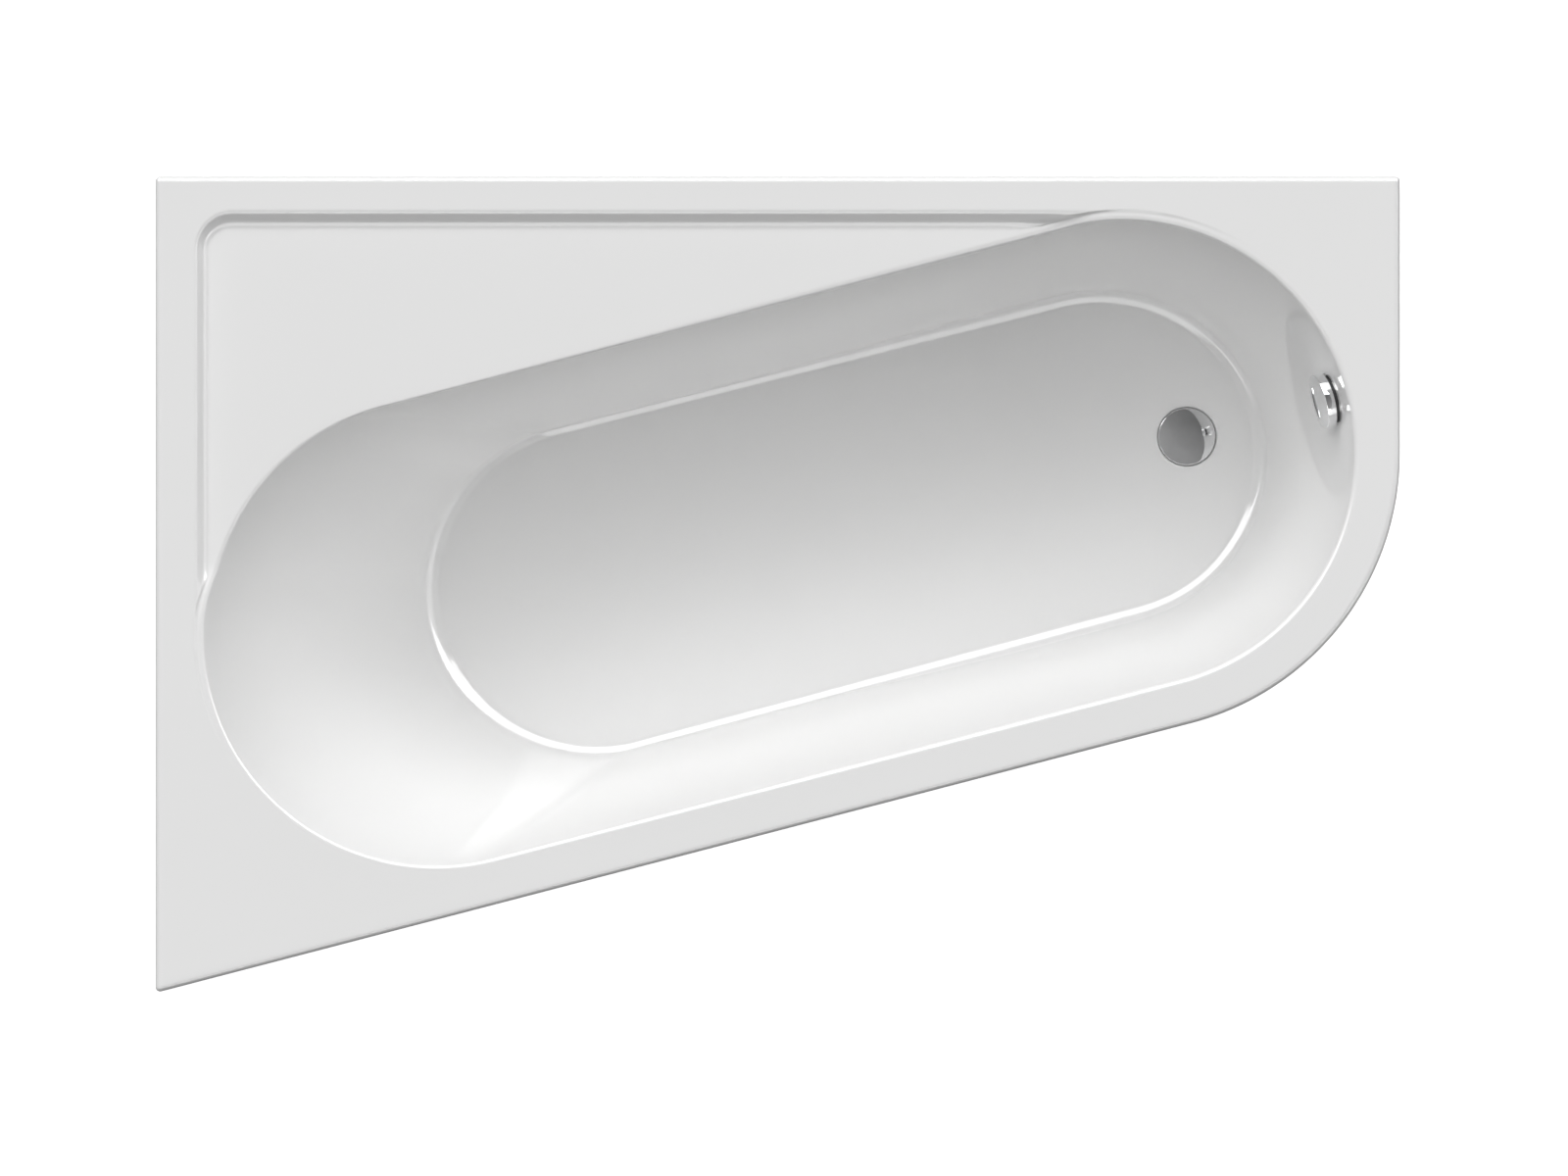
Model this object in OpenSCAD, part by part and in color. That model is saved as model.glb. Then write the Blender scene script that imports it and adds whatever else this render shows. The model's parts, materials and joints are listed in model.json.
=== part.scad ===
// Corner bathtub with one slanted long side, a shelf, a rotary waste control and a support frame

/* [Tub outline] */
// Length of the straight back edge
tub_w = 1600; // [1500:5:1700]
// Length of the straight left edge
tub_d = 1050; // [1000:5:1100]
// Height of the rim above the floor
rim_z = 580; // [540:5:640]
// Rise of the slanted front edge over the whole length
front_rise = 416.8; // [380:0.1:450]
// Radius of the three square corners in plan
outer_corner_r = 6; // [3:0.5:10]
// Radius of the top outer edge of the rim
rim_round = 9; // [5:0.5:12]
// Height of the turned down lip
lip_drop = 38; // [30:1:50]
// Thickness of the tub wall
shell_t = 6; // [4:0.5:8]

/* [Well] */
// Width of the flat rim beside the front edge
front_rim_w = 57.5; // [50:0.5:70]
// Width of the rim between the well and the back edge
back_rim_w = 56; // [50:0.5:70]
// Width of the rim between the well and the left edge
left_rim_w = 59.4; // [50:0.1:70]
// Height of the well floor at the drain
floor_z = 155; // [150:1:165]
// Radius of the rolled edge of the well
well_edge_r = 8.4; // [5:0.1:12]
// Added edge radius beside the shelf
shelf_edge_r = 2; // [0:0.5:4]
// Well radius less floor panel radius at the head end
head_run = 99.5; // [85:0.5:120]
// Well radius less floor panel radius at the foot end
foot_run = 104.5; // [85:0.5:120]
// Distance of the floor centre from the well centre at the head end
floor_head_in = 215; // [190:1:240]
// Distance of the floor centre from the well centre at the foot end
floor_foot_in = 28.4; // [20:0.1:40]
// Shift of the floor panel to the back
floor_shift = 2.5; // [0:0.5:5]
// Fall of the floor over the length of the well
floor_fall = 8; // [0:1:12]
// Thickness of the floor with its backing
floor_t = 8; // [6:0.5:12]
// Width of the hollow round at the foot of the floor step
step_round = 4.5; // [2:0.5:8]
// Width of the sloped band of the floor step
step_run = 5; // [2:0.5:8]
// Slope of the floor step in degrees
step_tilt = 22; // [15:1:30]
// Distance of the wall foot line from the floor panel edge
wall_foot = 16; // [12:1:24]
// Radius under the outer bottom edge of the well
bottom_round = 12; // [8:1:16]

/* [Shelf] */
// Depth of the shelf below the rim
shelf_drop = 13; // [8:0.5:20]
// Width of the step along the back of the shelf
shelf_back_w = 28; // [16:1:34]
// Width of the step along the left of the shelf
shelf_left_w = 19; // [12:1:30]
// Radius of the shelf corner
shelf_corner_r = 38; // [25:1:50]
// Gap between shelf line and well edge at which the full depth is reached
shelf_full_gap = 18; // [10:1:30]
// Angle over which the end of the shelf fades into the rim
shelf_fade = 40; // [20:1:50]

/* [Base and battens] */
// Thickness of the base board
board_t = 16; // [12:1:19]
// Distance of the base board edge inside the floor panel
board_in = 10; // [6:1:20]
// Radius of the cut-out for the waste
board_hole_r = 56; // [50:1:65]
// Height of a rim batten
batten_h = 20; // [16:1:24]
// Width of a rim batten
batten_w = 24; // [18:1:26]
// Gap between the lip face and the batten
batten_in = 18; // [16:0.5:20]

/* [Frame and feet] */
// Width of a cross rail
rail_w = 40; // [30:1:50]
// Height of a cross rail
rail_h = 25; // [20:1:35]
// Sheet thickness of a cross rail
rail_t = 2.5; // [2:0.5:4]
// Length of a cross rail beyond a foot rod
rail_end = 20; // [12:1:30]
// Distance of a foot rod outside the floor panel radius
foot_out = 37; // [35:1:44]
// Distance of the head rail from the head centre of the well
head_rail_in = 271.5; // [240:0.5:300]
// Distance of the drain rail from the drain
drain_rail_gap = 116.8; // [110:0.1:140]
// Radius of a levelling rod
rod_r = 5; // [4:0.5:6]
// Height of the top of a rail rod
rail_rod_top = 150; // [145:1:152]
// Height of the bottom of every rod
rod_bottom = 8; // [6:1:10]
// Height of the top of a post rod
post_rod_top = 104; // [90:1:130]
// Half width across corners of a lock nut
nut_r = 9.8; // [8:0.1:11]
// Height of a lock nut
nut_h = 8; // [6:0.5:10]
// Radius of a foot pad
pad_r = 26; // [20:1:32]
// Height of the flat part of a foot pad
pad_h = 6; // [4:1:8]
// Height of the whole foot pad
pad_top = 17; // [14:1:22]
// Radius of the top of a foot pad
pad_top_r = 12; // [9:1:15]
// Width of a corner post
post_w = 25; // [20:1:30]
// Sheet thickness of a corner post
post_t = 2; // [1.5:0.5:3]
// Height of the bottom end of a corner post
post_bottom = 62; // [50:1:80]
// Width of the plate on a corner post
post_plate_w = 60; // [50:1:70]
// Thickness of the plate on a corner post
post_plate_t = 3; // [2:0.5:5]
// Height of the threaded insert in a corner post
insert_h = 14; // [10:1:20]
// Shelf post distance from the back edge
shelf_post_y = 120; // [100:5:150]
// Shelf post distance from the left edge
shelf_post_x = 120; // [100:5:150]
// Right post distance from the right edge
right_post_x = 68; // [60:1:80]
// Right post distance from the back edge
right_post_y = 72; // [65:1:85]
// Front post distance from the left edge
front_post_x = 92; // [80:1:100]
// Front post distance from the front left corner along the left edge
front_post_y = 122; // [110:1:140]

/* [Panel] */
// Thickness of the front panel
panel_t = 4; // [3:0.5:6]
// Gap between the lip and the panel
panel_gap = 1; // [0.5:0.5:2]
// Gap between the panel top and the rim
panel_top_gap = 2; // [1:0.5:4]
// Thickness of a panel bracket
clip_t = 2; // [1.5:0.5:3]
// Width of a panel bracket
clip_w = 40; // [25:1:60]
// Length of a panel bracket on the floor
clip_foot = 46; // [30:1:60]
// Height of a panel bracket on the floor
clip_h = 60; // [40:1:80]
// Radius of the screw holes in the brackets
clip_hole_r = 2.6; // [2:0.1:3.5]
// Distance of the last panel bracket from the front left corner
clip_end = 83.5; // [60:0.5:120]
// Number of panel brackets along the front
clip_count = 4; // [3:1:4]

/* [Wall clips] */
// Width of a wall clip
wall_clip_w = 60; // [40:5:80]
// Thickness of a wall clip
wall_clip_t = 3; // [2:0.5:4]
// Height of the part that lies on the wall
wall_clip_h = 60; // [40:5:80]
// Gap between the lip and the tongue
wall_clip_gap = 1; // [0.5:0.5:2]
// Radius of the wall screw holes
wall_hole_r = 3; // [2.5:0.5:4]
// Spacing of the two wall screw holes
wall_hole_gap = 36; // [20:1:50]
// Distance of the back wall clips from the side edges
wall_clip_in = 320; // [250:10:400]
// Distance of the left wall clip from the middle of the left edge
wall_clip_y = 38; // [0:1:100]

/* [Drain] */
// Distance of the drain from the foot end of the floor panel
drain_edge = 80.8; // [70:0.1:95]
// Radius of the waste hole
drain_hole_r = 26; // [24:0.5:28]
// Radius of the recess under the strainer
drain_seat_r = 38.5; // [36:0.5:40]
// Depth of the recess under the strainer
drain_seat_h = 4.5; // [4:0.5:5.5]
// Radius of the strainer flange
strainer_r = 35; // [33:0.5:38]
// Thickness of the strainer flange
strainer_t = 4; // [3:0.5:5]
// Outer radius of the strainer throat
throat_r = 25.5; // [23:0.5:27]
// Wall thickness of the strainer throat
throat_t = 2.5; // [2:0.5:4]
// Height of the strainer throat
throat_h = 24; // [20:1:30]
// Thickness of the washer under the strainer
washer_t = 1; // [0.5:0.5:2]
// Thickness of the washer under the tub
under_washer_t = 4; // [3:0.5:6]
// Radius of the waste body flange
waste_flange_r = 38; // [34:1:42]
// Thickness of the waste body flange
waste_flange_t = 4; // [3:0.5:6]
// Outer radius of the waste body
waste_r = 33; // [30:1:36]
// Wall thickness of the plastic waste parts
plastic_t = 3; // [2:0.5:4]
// Height of the waste body below its flange
waste_h = 41; // [36:1:46]
// Outer radius of the outlet neck and its dip pipe
neck_r = 23; // [20:0.5:26]
// Length of the dip pipe
neck_h = 40; // [34:1:44]
// Outer radius of the trap cup
trap_r = 50; // [44:1:56]
// Height of the trap cup
trap_h = 42; // [36:1:48]
// Distance of the trap nut below the waste body
trap_nut_gap = 2; // [1:0.5:4]
// Height of the trap nut
trap_nut_h = 12; // [10:1:14]
// Radius of the trap nut
trap_nut_r = 33; // [29:0.5:36]

/* [Plug] */
// Radius of the plug cap
cap_r = 36.5; // [34:0.5:38]
// Height of the dome of the plug cap
cap_dome = 6.8; // [5:0.2:9]
// Thickness of the plug cap
cap_t = 1.8; // [1.2:0.1:3]
// Gap between the cap edge and the floor
cap_gap = 1.2; // [0.6:0.1:2]
// Radius of the plug seal
seal_r = 30.6; // [29:0.1:31]
// Thickness of the plug seal
seal_t = 2; // [1.5:0.1:3]
// Taper of the plug seal from top to bottom
seal_taper = 3.6; // [3:0.1:4]
// Radius of the hub under the cap
hub_r = 12; // [9:1:14]
// Radius of the plug stem
stem_r = 4; // [3:0.5:5]
// Radius of the collar on the plug stem
collar_r = 14; // [13:1:16]
// Thickness of the collar on the plug stem
collar_t = 1.5; // [1:0.5:2]
// Length of the plug stem below the collar
stem_len = 33; // [28:1:38]
// Travel of the plug
plug_travel = 8; // [6:0.5:9]

/* [Lifting gear] */
// Distance of the rocker pivot from the drain axis
rocker_x = 18; // [15:1:22]
// Thickness of the rocker arm
rocker_t = 4; // [3:0.5:6]
// Width of the rocker arm
rocker_w = 8; // [6:0.5:12]
// Radius of the rocker pivot boss
rocker_r = 4; // [3:0.5:5]
// Radius of the rocker pin
pin_r = 2; // [1.5:0.25:3]
// Width of the gear housing beside the waste body
gear_w = 26; // [20:1:30]
// Length of the gear housing
gear_len = 42; // [36:1:48]
// Height of the gear housing
gear_h = 18; // [14:1:20]
// Sideways distance of the cable
cable_y = 32; // [30:1:36]
// Radius of the cable sleeve
cable_r = 2.5; // [2:0.25:4]

/* [Trap outlet] */
// Outer radius of the outlet spigot
spigot_r = 20; // [16:1:22]
// Length of the outlet spigot
spigot_len = 32; // [25:1:40]
// Angle of the bend
bend_angle = 45; // [30:5:60]
// Radius of the bend of the outlet
bend_r = 32; // [28:1:40]
// Length of the plain pipe end
pipe_end = 40; // [34:1:54]
// Width of the bead between the bend and the plain pipe end
bead_w = 4; // [3:0.5:6]
// Height of the bead
bead_h = 1; // [0.5:0.5:2]
// Radius of the outlet nut
outlet_nut_r = 29; // [27:0.5:32]
// Length of the outlet nut
outlet_nut_len = 18; // [14:1:22]

/* [Overflow] */
// Depth of the overflow centre below the rim
overflow_drop = 73; // [65:1:95]
// Radius of the overflow hole
overflow_hole_r = 26; // [24:0.5:28]
// Radius of the flat seat inside the well
inner_seat_r = 34; // [30:0.5:35]
// Radius of the flat pad outside the well
outer_pad_r = 37; // [34:0.5:40]
// Distance of the outer pad face from the inner face
outer_pad_t = 8.5; // [8:0.5:10]
// Thickness of the overflow washer
over_washer_t = 2.5; // [2:0.5:4]
// Radius of the overflow washer
over_washer_r = 35; // [33:0.5:38]
// Thickness of the overflow body flange
over_flange_t = 4; // [3:0.5:5]
// Outer radius of the overflow body
over_body_r = 32; // [30:0.5:34]
// Depth of the overflow body
over_body_h = 27; // [24:1:30]
// Outer radius of the hose and its spigots
hose_r = 15; // [13:0.5:16]
// Wall thickness of the hose
hose_t = 2; // [1.5:0.5:3]
// Depth of the hose spigot end below the overflow centre
hose_down = 57; // [49:1:67]
// Depth of the top of the hose spigot below the overflow centre
spigot_down = 25; // [21:1:31]
// Distance of the upright hose from the overflow centre
hose_out = 20.5; // [18:0.5:25]
// Height of the level hose above the bottom of the waste body
hose_up = 14; // [10:0.5:15]
// Bend radius of the hose
hose_bend_r = 50; // [44:1:56]
// Distance of the waste hose spigot end from the drain
hose_port = 52; // [48:1:60]
// Radius of the hose ribs
hose_rib_r = 17; // [16:0.1:18]
// Length of one hose rib
hose_rib_w = 5; // [4:0.5:8]
// Spacing of the hose ribs
hose_rib_step = 14; // [12:1:20]
// Radius of the hose nuts
hose_nut_r = 20.5; // [19:0.5:22]
// Length of the hose nuts
hose_nut_len = 16; // [12:1:20]

/* [Overflow knob] */
// Radius of the knob
knob_r = 36; // [32:0.5:38]
// Thickness of the knob
knob_t = 15; // [10:0.5:18]
// Gap between the wall and the knob
knob_gap = 4; // [3:0.5:6]
// Radius of the knob edges
knob_round = 1.6; // [1:0.1:3]
// Radius of the sunk face of the knob
knob_dish_r = 29; // [24:0.5:32]
// Depth of the sunk face of the knob
knob_dish_h = 1.2; // [0.5:0.1:2]
// Radius of the grip ring behind the knob
knob_neck_r = 14; // [12:0.5:16]
// Radius of the knob spindle
spindle_r = 4; // [3:0.5:5]
// Length of the spindle behind the wall face
spindle_len = 29; // [24:1:31]
// Thickness of the overflow grille
grille_t = 2; // [1.5:0.1:3]
// Radius of the overflow grille
grille_r = 32; // [30:0.5:34]
// Number of openings in the grille
grille_count = 6; // [4:1:8]
// Radius of the openings in the grille
grille_hole_r = 4.2; // [3:0.1:5]
// Distance of the openings from the spindle
grille_hole_mid = 14.5; // [13:0.5:16]
// Radius of the screws in the grille
grille_screw_r = 2; // [1.5:0.25:2.5]
// Radius of the screw heads
screw_head_r = 3.8; // [3:0.1:4]
// Height of the screw heads
screw_head_h = 1.4; // [1:0.1:1.6]
// Length of the screws behind the grille
screw_len = 24; // [18:1:30]
// Distance of the screws from the spindle
screw_mid = 21.5; // [21:0.1:22]
// Radius of the spindle bearing
bearing_r = 8; // [6:0.5:10]
// Width of the cable housing on the overflow body
cable_box_w = 20; // [18:1:24]
// Height of the cable housing on the overflow body
cable_box_h = 22; // [18:1:26]
// Radius of the cable clip rings
clip_ring_r = 19; // [18.5:0.5:21]
// Width of the cable clips
clip_ring_w = 8; // [6:1:10]

/* [Fits] */
// Radial clearance of turning and sliding fits
run_fit = 0.06; // [0.02:0.01:0.1]
// Gap between parts that pass each other
free_gap = 0.4; // [0.3:0.05:0.6]

/* [Hidden] */
round_n = 96;
small_n = 48;
far = tub_w * 10;
front_angle = atan(front_rise / tub_w);
back_angle = front_angle + 90;
front_dir = front_angle - 90;
half_w = tub_w / 2;
half_d = tub_d / 2;
edge_slope = tan(front_angle);
arc_span = tub_d - front_rise - back_rim_w + front_rim_w;
front_arc_r = arc_span / (1 + 1 / cos(front_angle) - edge_slope);
well_r = front_arc_r - front_rim_w;
well_len = (tub_w - front_arc_r - well_r - left_rim_w) / cos(front_angle);
floor_head_r = well_r - head_run;
floor_foot_r = well_r - foot_run;
drain_x = floor_foot_r - floor_foot_in - drain_edge;
arc_x = half_w - front_arc_r;
arc_y = (front_arc_r / cos(front_angle)) + (arc_x + half_w) * edge_slope - half_d;
foot_c = [arc_x, arc_y];
head_c = foot_c - well_len * along(front_angle);
floor_head_c = head_c + floor_head_in * along(front_angle) + floor_shift * along(back_angle);
floor_foot_c = foot_c - floor_foot_in * along(front_angle) + floor_shift * along(back_angle);
drain_c = foot_c + drain_x * along(front_angle);
bottom_z = floor_z - floor_t;
front_n = along(front_dir);
front_dist = front_n * [-half_w, -half_d];
edges = [[[0, 1], half_d], [[-1, 0], half_w], [[1, 0], half_w], [front_n, front_dist]];
corner_in = half_w - outer_corner_r;
corner_up = half_d - outer_corner_r;
front_corner_y = (front_dist - outer_corner_r + corner_in * front_n[0]) / front_n[1];
corners = [
  [[-corner_in, corner_up], [-1, 0], [0, 1]],
  [[corner_in, corner_up], [1, 0], [0, 1]],
  [[-corner_in, front_corner_y], [-1, 0], front_n]
];
shelf_back_y = arc_y + well_r;
shelf_left_x = head_c[0] - well_r;
step_shares = [-1, -0.6, -0.25, 0.25, 0.6, 1];
rise_shares = [0, 0.08, 0.3, 0.7, 0.92, 1];
curve_shares = [0, 0.2, 0.4, 0.6, 0.8, 1];
edge_shares = [0, 0.25, 0.5, 0.75, 1];
outer_turns = [0, 30, 60, 90];
tangent_share = 0.25;
leg_share = 1.1;
step_r = step_round / sin(step_tilt);
flat_min = 2;
flat_step = 3;
under_in = 3;
arc_n = 240;
nut_rib_n = 10;
rib_turns = [0, 15, 30, 45, 60, 75, 90];
clip_shares = [0.22, 0.68];

// Small helpers
function along(g) = [cos(g), sin(g)];
function mix(a, b, m) = a + (b - a) * m;
function clamp(x) = max(0, min(1, x));
function smooth(x) = x * x * (3 - 2 * x);
function bend(p, q, r, m) = mix(mix(p, q, m), mix(q, r, m), m);
function line_t(c, d, n, dist) = n * d > 0.001 ? (dist - n * c) / (n * d) : far;
function hit_t(c, d, k, r) = (k - c) * d + sqrt(max(0, r * r - pow(cross(k - c, d), 2)));
function turn(g) = g < -90 ? g + 360 : g;
function sight(c, p) = turn(atan2(p[1] - c[1], p[0] - c[0]));
function spread(a, b, n) = [for (i = [0 : n - 1]) mix(a, b, i / n)];

// A station is a place along the well from head 0 to foot 1 and a direction to look in
function well_c(s) = mix(head_c, foot_c, s[0]);
function floor_c(s) = mix(floor_head_c, floor_foot_c, s[0]);
function floor_edge(s) = floor_c(s) + mix(floor_head_r, floor_foot_r, s[0]) * along(s[1]);
function well_edge(s) = well_c(s) + well_r * along(s[1]);
function wall_w(s) = norm(well_edge(s) - floor_edge(s));
function floor_h(p) = floor_z + floor_fall * ((drain_c - p) * along(front_angle)) / well_len;
function wall_k(s) = (wall_w(s) - wall_foot) / (rim_z - floor_h(floor_edge(s)));
function plan(s, x) = x < wall_w(s)
  ? mix(floor_edge(s), well_edge(s), x / wall_w(s))
  : well_edge(s) + (x - wall_w(s)) * along(s[1]);

// Distance from the well line to the outer outline moved inward
function corner_ok(c, d, k, r, t) = (c + t * d - k[0]) * k[1] > 0 && (c + t * d - k[0]) * k[2] > 0;
function corner_t(c, d, k, r) = r <= 0 || abs(cross(k[0] - c, d)) > r ? far
  : corner_ok(c, d, k, r, hit_t(c, d, k[0], r)) ? hit_t(c, d, k[0], r) : far;
function sharp_t(c, d, off) = min([for (e = edges) line_t(c, d, e[0], e[1] - off)]);
function blunt_t(c, d, off) = min([for (k = corners) corner_t(c, d, k, outer_corner_r - off)]);
function on_arc(s) = s[0] == 1 && s[1] < 0;
function outer_t(s, off) = on_arc(s) ? front_arc_r - off
  : min(sharp_t(well_c(s), along(s[1]), off), blunt_t(well_c(s), along(s[1]), off));
function outer_x(s, off) = wall_w(s) - well_r + outer_t(s, off);

// Distance from the well line to the shelf line, k runs from foot -1 to top 1 of the step
function shelf_r(k) = shelf_corner_r + k * (shelf_back_w + shelf_left_w) / 4;
function shelf_back(k) = shelf_back_y + k * shelf_back_w / 2;
function shelf_left(k) = shelf_left_x - k * shelf_left_w / 2;
function shelf_mid(k) = [shelf_left(k) + shelf_r(k), shelf_back(k) - shelf_r(k)];
function shelf_lines(c, d, k) = min(line_t(c, d, [0, 1], shelf_back(k)), line_t(c, d, [-1, 0], -shelf_left(k)));
function shelf_hit(c, d, k) = corner_t(c, d, [shelf_mid(k), [-1, 0], [0, 1]], shelf_r(k));
function shelf_t(c, d, k) = min(shelf_lines(c, d, k), shelf_hit(c, d, k));
function on_shelf(s) = s[1] >= 90 && s[1] <= 180;
function past_shelf(s) = s[1] > 180 ? s[1] - 180 : max(0, 90 - s[1]);
function shelf_gap(s) = max(0, shelf_t(well_c(s), along(s[1]), 0) - well_r);
function shelf_q(s) = smooth(clamp(on_shelf(s)
  ? tangent_share + shelf_gap(s) / shelf_full_gap
  : tangent_share * (1 - past_shelf(s) / shelf_fade)));
function top_z(s) = rim_z - shelf_drop * shelf_q(s);
function edge_x(s) = wall_w(s) - shelf_drop * shelf_q(s) * wall_k(s);
function edge_leg(s) = (well_edge_r + shelf_edge_r * shelf_q(s)) * tan((90 - atan(wall_k(s))) / 2);
function least_x(s, k) = edge_x(s) + edge_leg(s) + flat_min + flat_step * (k + 1);
function step_x(s, k) = on_shelf(s)
  ? max(least_x(s, k), wall_w(s) - well_r + shelf_t(well_c(s), along(s[1]), k))
  : least_x(s, k);
function step_z(s, i) = mix(top_z(s), rim_z, rise_shares[i]);

// Inner face from the floor panel up to the rolled edge
function band_x() = step_round + step_run;
function band_z() = step_round * tan(step_tilt / 2) + step_run * tan(step_tilt);
function meet_z(s) = (band_z() + (wall_foot - band_x()) * tan(step_tilt)) / (1 - wall_k(s) * tan(step_tilt));
function meet(s) = [wall_foot + meet_z(s) * wall_k(s), meet_z(s)];
function meet_leg(s) = leg_share * norm(meet(s) - [band_x(), band_z()]);
function wall_dir(s) = [sin(atan(wall_k(s))), cos(atan(wall_k(s)))];
function wall_start(s) = meet(s) + meet_leg(s) * wall_dir(s);
function edge_start(s) = [edge_x(s), top_z(s)] - edge_leg(s) * wall_dir(s);
function lift(s, p) = [p[0], p[1] + floor_h(floor_edge(s))];
function floor_rows(s) = [
  lift(s, [0, 0]),
  lift(s, [step_r * sin(step_tilt / 2), step_r * (1 - cos(step_tilt / 2))]),
  lift(s, [step_round, step_round * tan(step_tilt / 2)]),
  for (m = curve_shares) lift(s, bend([band_x(), band_z()], meet(s), wall_start(s), m)),
  mix(lift(s, wall_start(s)), edge_start(s), 0.5)
];
function top_rows(s) = [
  for (m = edge_shares) bend(edge_start(s), [edge_x(s), top_z(s)], [edge_x(s) + edge_leg(s), top_z(s)], m),
  for (i = [0 : len(step_shares) - 1]) [step_x(s, step_shares[i]), step_z(s, i)]
];
function lip_rows(s) = [
  for (g = outer_turns) [outer_x(s, rim_round * (1 - sin(g))), rim_z - rim_round * (1 - cos(g))],
  [outer_x(s, 0), rim_z - lip_drop],
  [outer_x(s, shell_t), rim_z - lip_drop],
  [outer_x(s, shell_t), rim_z - rim_round],
  [outer_x(s, rim_round), rim_z - shell_t]
];

// Outer skin from under the rim down to the flat bottom
function skin_t(s) = shell_t / cos(atan(wall_k(s)));
function skin_x(s, z) = wall_foot + skin_t(s) + (z - floor_h(floor_edge(s))) * wall_k(s);
function skin_top(s) = top_z(s) - shell_t - edge_leg(s);
function skin_rows(s) = [
  [step_x(s, 1) + under_in, rim_z - shell_t],
  [step_x(s, -1) + under_in / 3, top_z(s) - shell_t],
  [edge_x(s) + edge_leg(s) + under_in / 3, top_z(s) - shell_t],
  [skin_x(s, skin_top(s)), skin_top(s)],
  [skin_x(s, (skin_top(s) + bottom_z) / 2), (skin_top(s) + bottom_z) / 2],
  [skin_x(s, bottom_z + bottom_round), bottom_z + bottom_round],
  [skin_x(s, bottom_z) - bottom_round * 0.2, bottom_z + bottom_round * 0.2],
  [skin_x(s, bottom_z) - bottom_round, bottom_z]
];
function rows(s) = concat(floor_rows(s), top_rows(s), lip_rows(s), skin_rows(s));

// Directions of the stations round the well
shelf_a = sight(head_c, [shelf_mid(0)[0], shelf_back_y]);
left_a = sight(head_c, [-corner_in, half_d]);
left_b = sight(head_c, [-half_w, corner_up]);
front_a = sight(head_c, [-half_w, front_corner_y]);
front_b = sight(head_c, [-corner_in, front_corner_y] + outer_corner_r * front_n);
right_a = sight(foot_c, [half_w, corner_up]);
right_b = sight(foot_c, [corner_in, half_d]);
head_turns = concat(
  spread(back_angle, shelf_a, 4),
  spread(shelf_a, left_a, 5),
  spread(left_a, left_b, 2),
  spread(left_b, 180, 12),
  spread(180, front_a, 10),
  spread(front_a, front_b, 2),
  spread(front_b, front_dir + 360, 10),
  [front_dir + 360]
);
foot_turns = concat(
  spread(front_dir, 0, 15),
  spread(0, right_a, 9),
  spread(right_a, right_b, 2),
  spread(right_b, 90, 9),
  spread(90, back_angle, 4),
  [back_angle]
);
side_n = 8;
stations = concat(
  [for (g = head_turns) [0, g]],
  [for (i = [1 : side_n - 1]) [i / side_n, front_dir + 360]],
  [for (g = foot_turns) [1, g]],
  [for (i = [1 : side_n - 1]) [1 - i / side_n, back_angle]]
);
station_n = len(stations);
tables = [for (s = stations) [for (r = rows(s)) concat(plan(s, r[0]), [r[1]])]];
row_n = len(tables[0]);
shell_points = [for (j = [0 : row_n - 1]) for (t = tables) t[j]];
shell_quads = [for (j = [0 : row_n - 2]) for (i = [0 : station_n - 1])
  let (k = (i + 1) % station_n, a = j * station_n, b = a + station_n)
  for (f = [[a + i, a + k, b + k], [a + i, b + k, b + i]]) f];
floor_cap = [[for (i = [station_n - 1 : -1 : 0]) i]];
bottom_cap = [[for (i = [0 : station_n - 1]) (row_n - 1) * station_n + i]];

// Places of the fittings
foot_station = [1, front_angle];
foot_k = wall_k(foot_station);
foot_lean = atan(foot_k);
over_z = rim_z - overflow_drop;
over_x = well_r - overflow_drop * foot_k;
seat_z = floor_z - drain_seat_h;
strainer_z = seat_z + washer_t;
throat_z = strainer_z - throat_h;
waste_top = bottom_z - under_washer_t;
waste_bottom = waste_top - waste_flange_t - waste_h;
neck_bottom = waste_bottom - neck_h;
trap_nut_z = waste_bottom - trap_nut_gap - trap_nut_h;
trap_top = trap_nut_z;
trap_z = trap_top - trap_h;
outlet_z = trap_z + trap_h / 2;
cap_z = floor_z + cap_gap;
cap_ball_r = (cap_r * cap_r + cap_dome * cap_dome) / (2 * cap_dome);
seal_z = floor_z - seal_t + 0.2 * washer_t;
collar_z = seal_z - collar_t;
stem_z = collar_z - stem_len;
rocker_z = stem_z - free_gap - rocker_t / 2;
hose_z = waste_bottom + hose_up;
hose_x = over_x + hose_out;
hose_top = over_z - hose_down;
spigot_top = over_z - spigot_down;
up_n = floor((hose_top - hose_nut_len - hose_z - hose_bend_r) / hose_rib_step);
clip_ribs = [for (m = clip_shares) round(m * up_n)];
board_r = floor_foot_r - board_in;
slot_w = 2 * (hose_nut_r + free_gap);
foot_y = floor_head_r + foot_out;
rail_half = foot_y + rail_end;
head_rail_x = well_len - head_rail_in;
foot_rail_x = drain_rail_gap - drain_x;
front_len = (tub_w - front_arc_r) / cos(front_angle);
clip_step = (front_len - clip_end - 1.5 * clip_w) / (clip_count - 1);
wall_clip_x = half_w - wall_clip_in;
board_z = bottom_z - board_t;
rail_z = board_z - rail_h;
batten_z = rim_z - shell_t - batten_h;
flat_z = rim_z - shell_t;
shelf_under_z = rim_z - shelf_drop - shell_t;
over_back = outer_pad_t + over_washer_t;
hose_low_x = drain_x + hose_port;
panel_in = shell_t + panel_gap;
shelf_post = [shelf_post_x - half_w, half_d - shelf_post_y];
right_post = [half_w - right_post_x, half_d - right_post_y];
front_post = [front_post_x - half_w, front_post_y - half_d];
gear_y = cable_y - gear_w / 2 - 0.04 * gear_w;
tongue_in = max(shell_t + wall_clip_gap, rim_round + free_gap);
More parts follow.
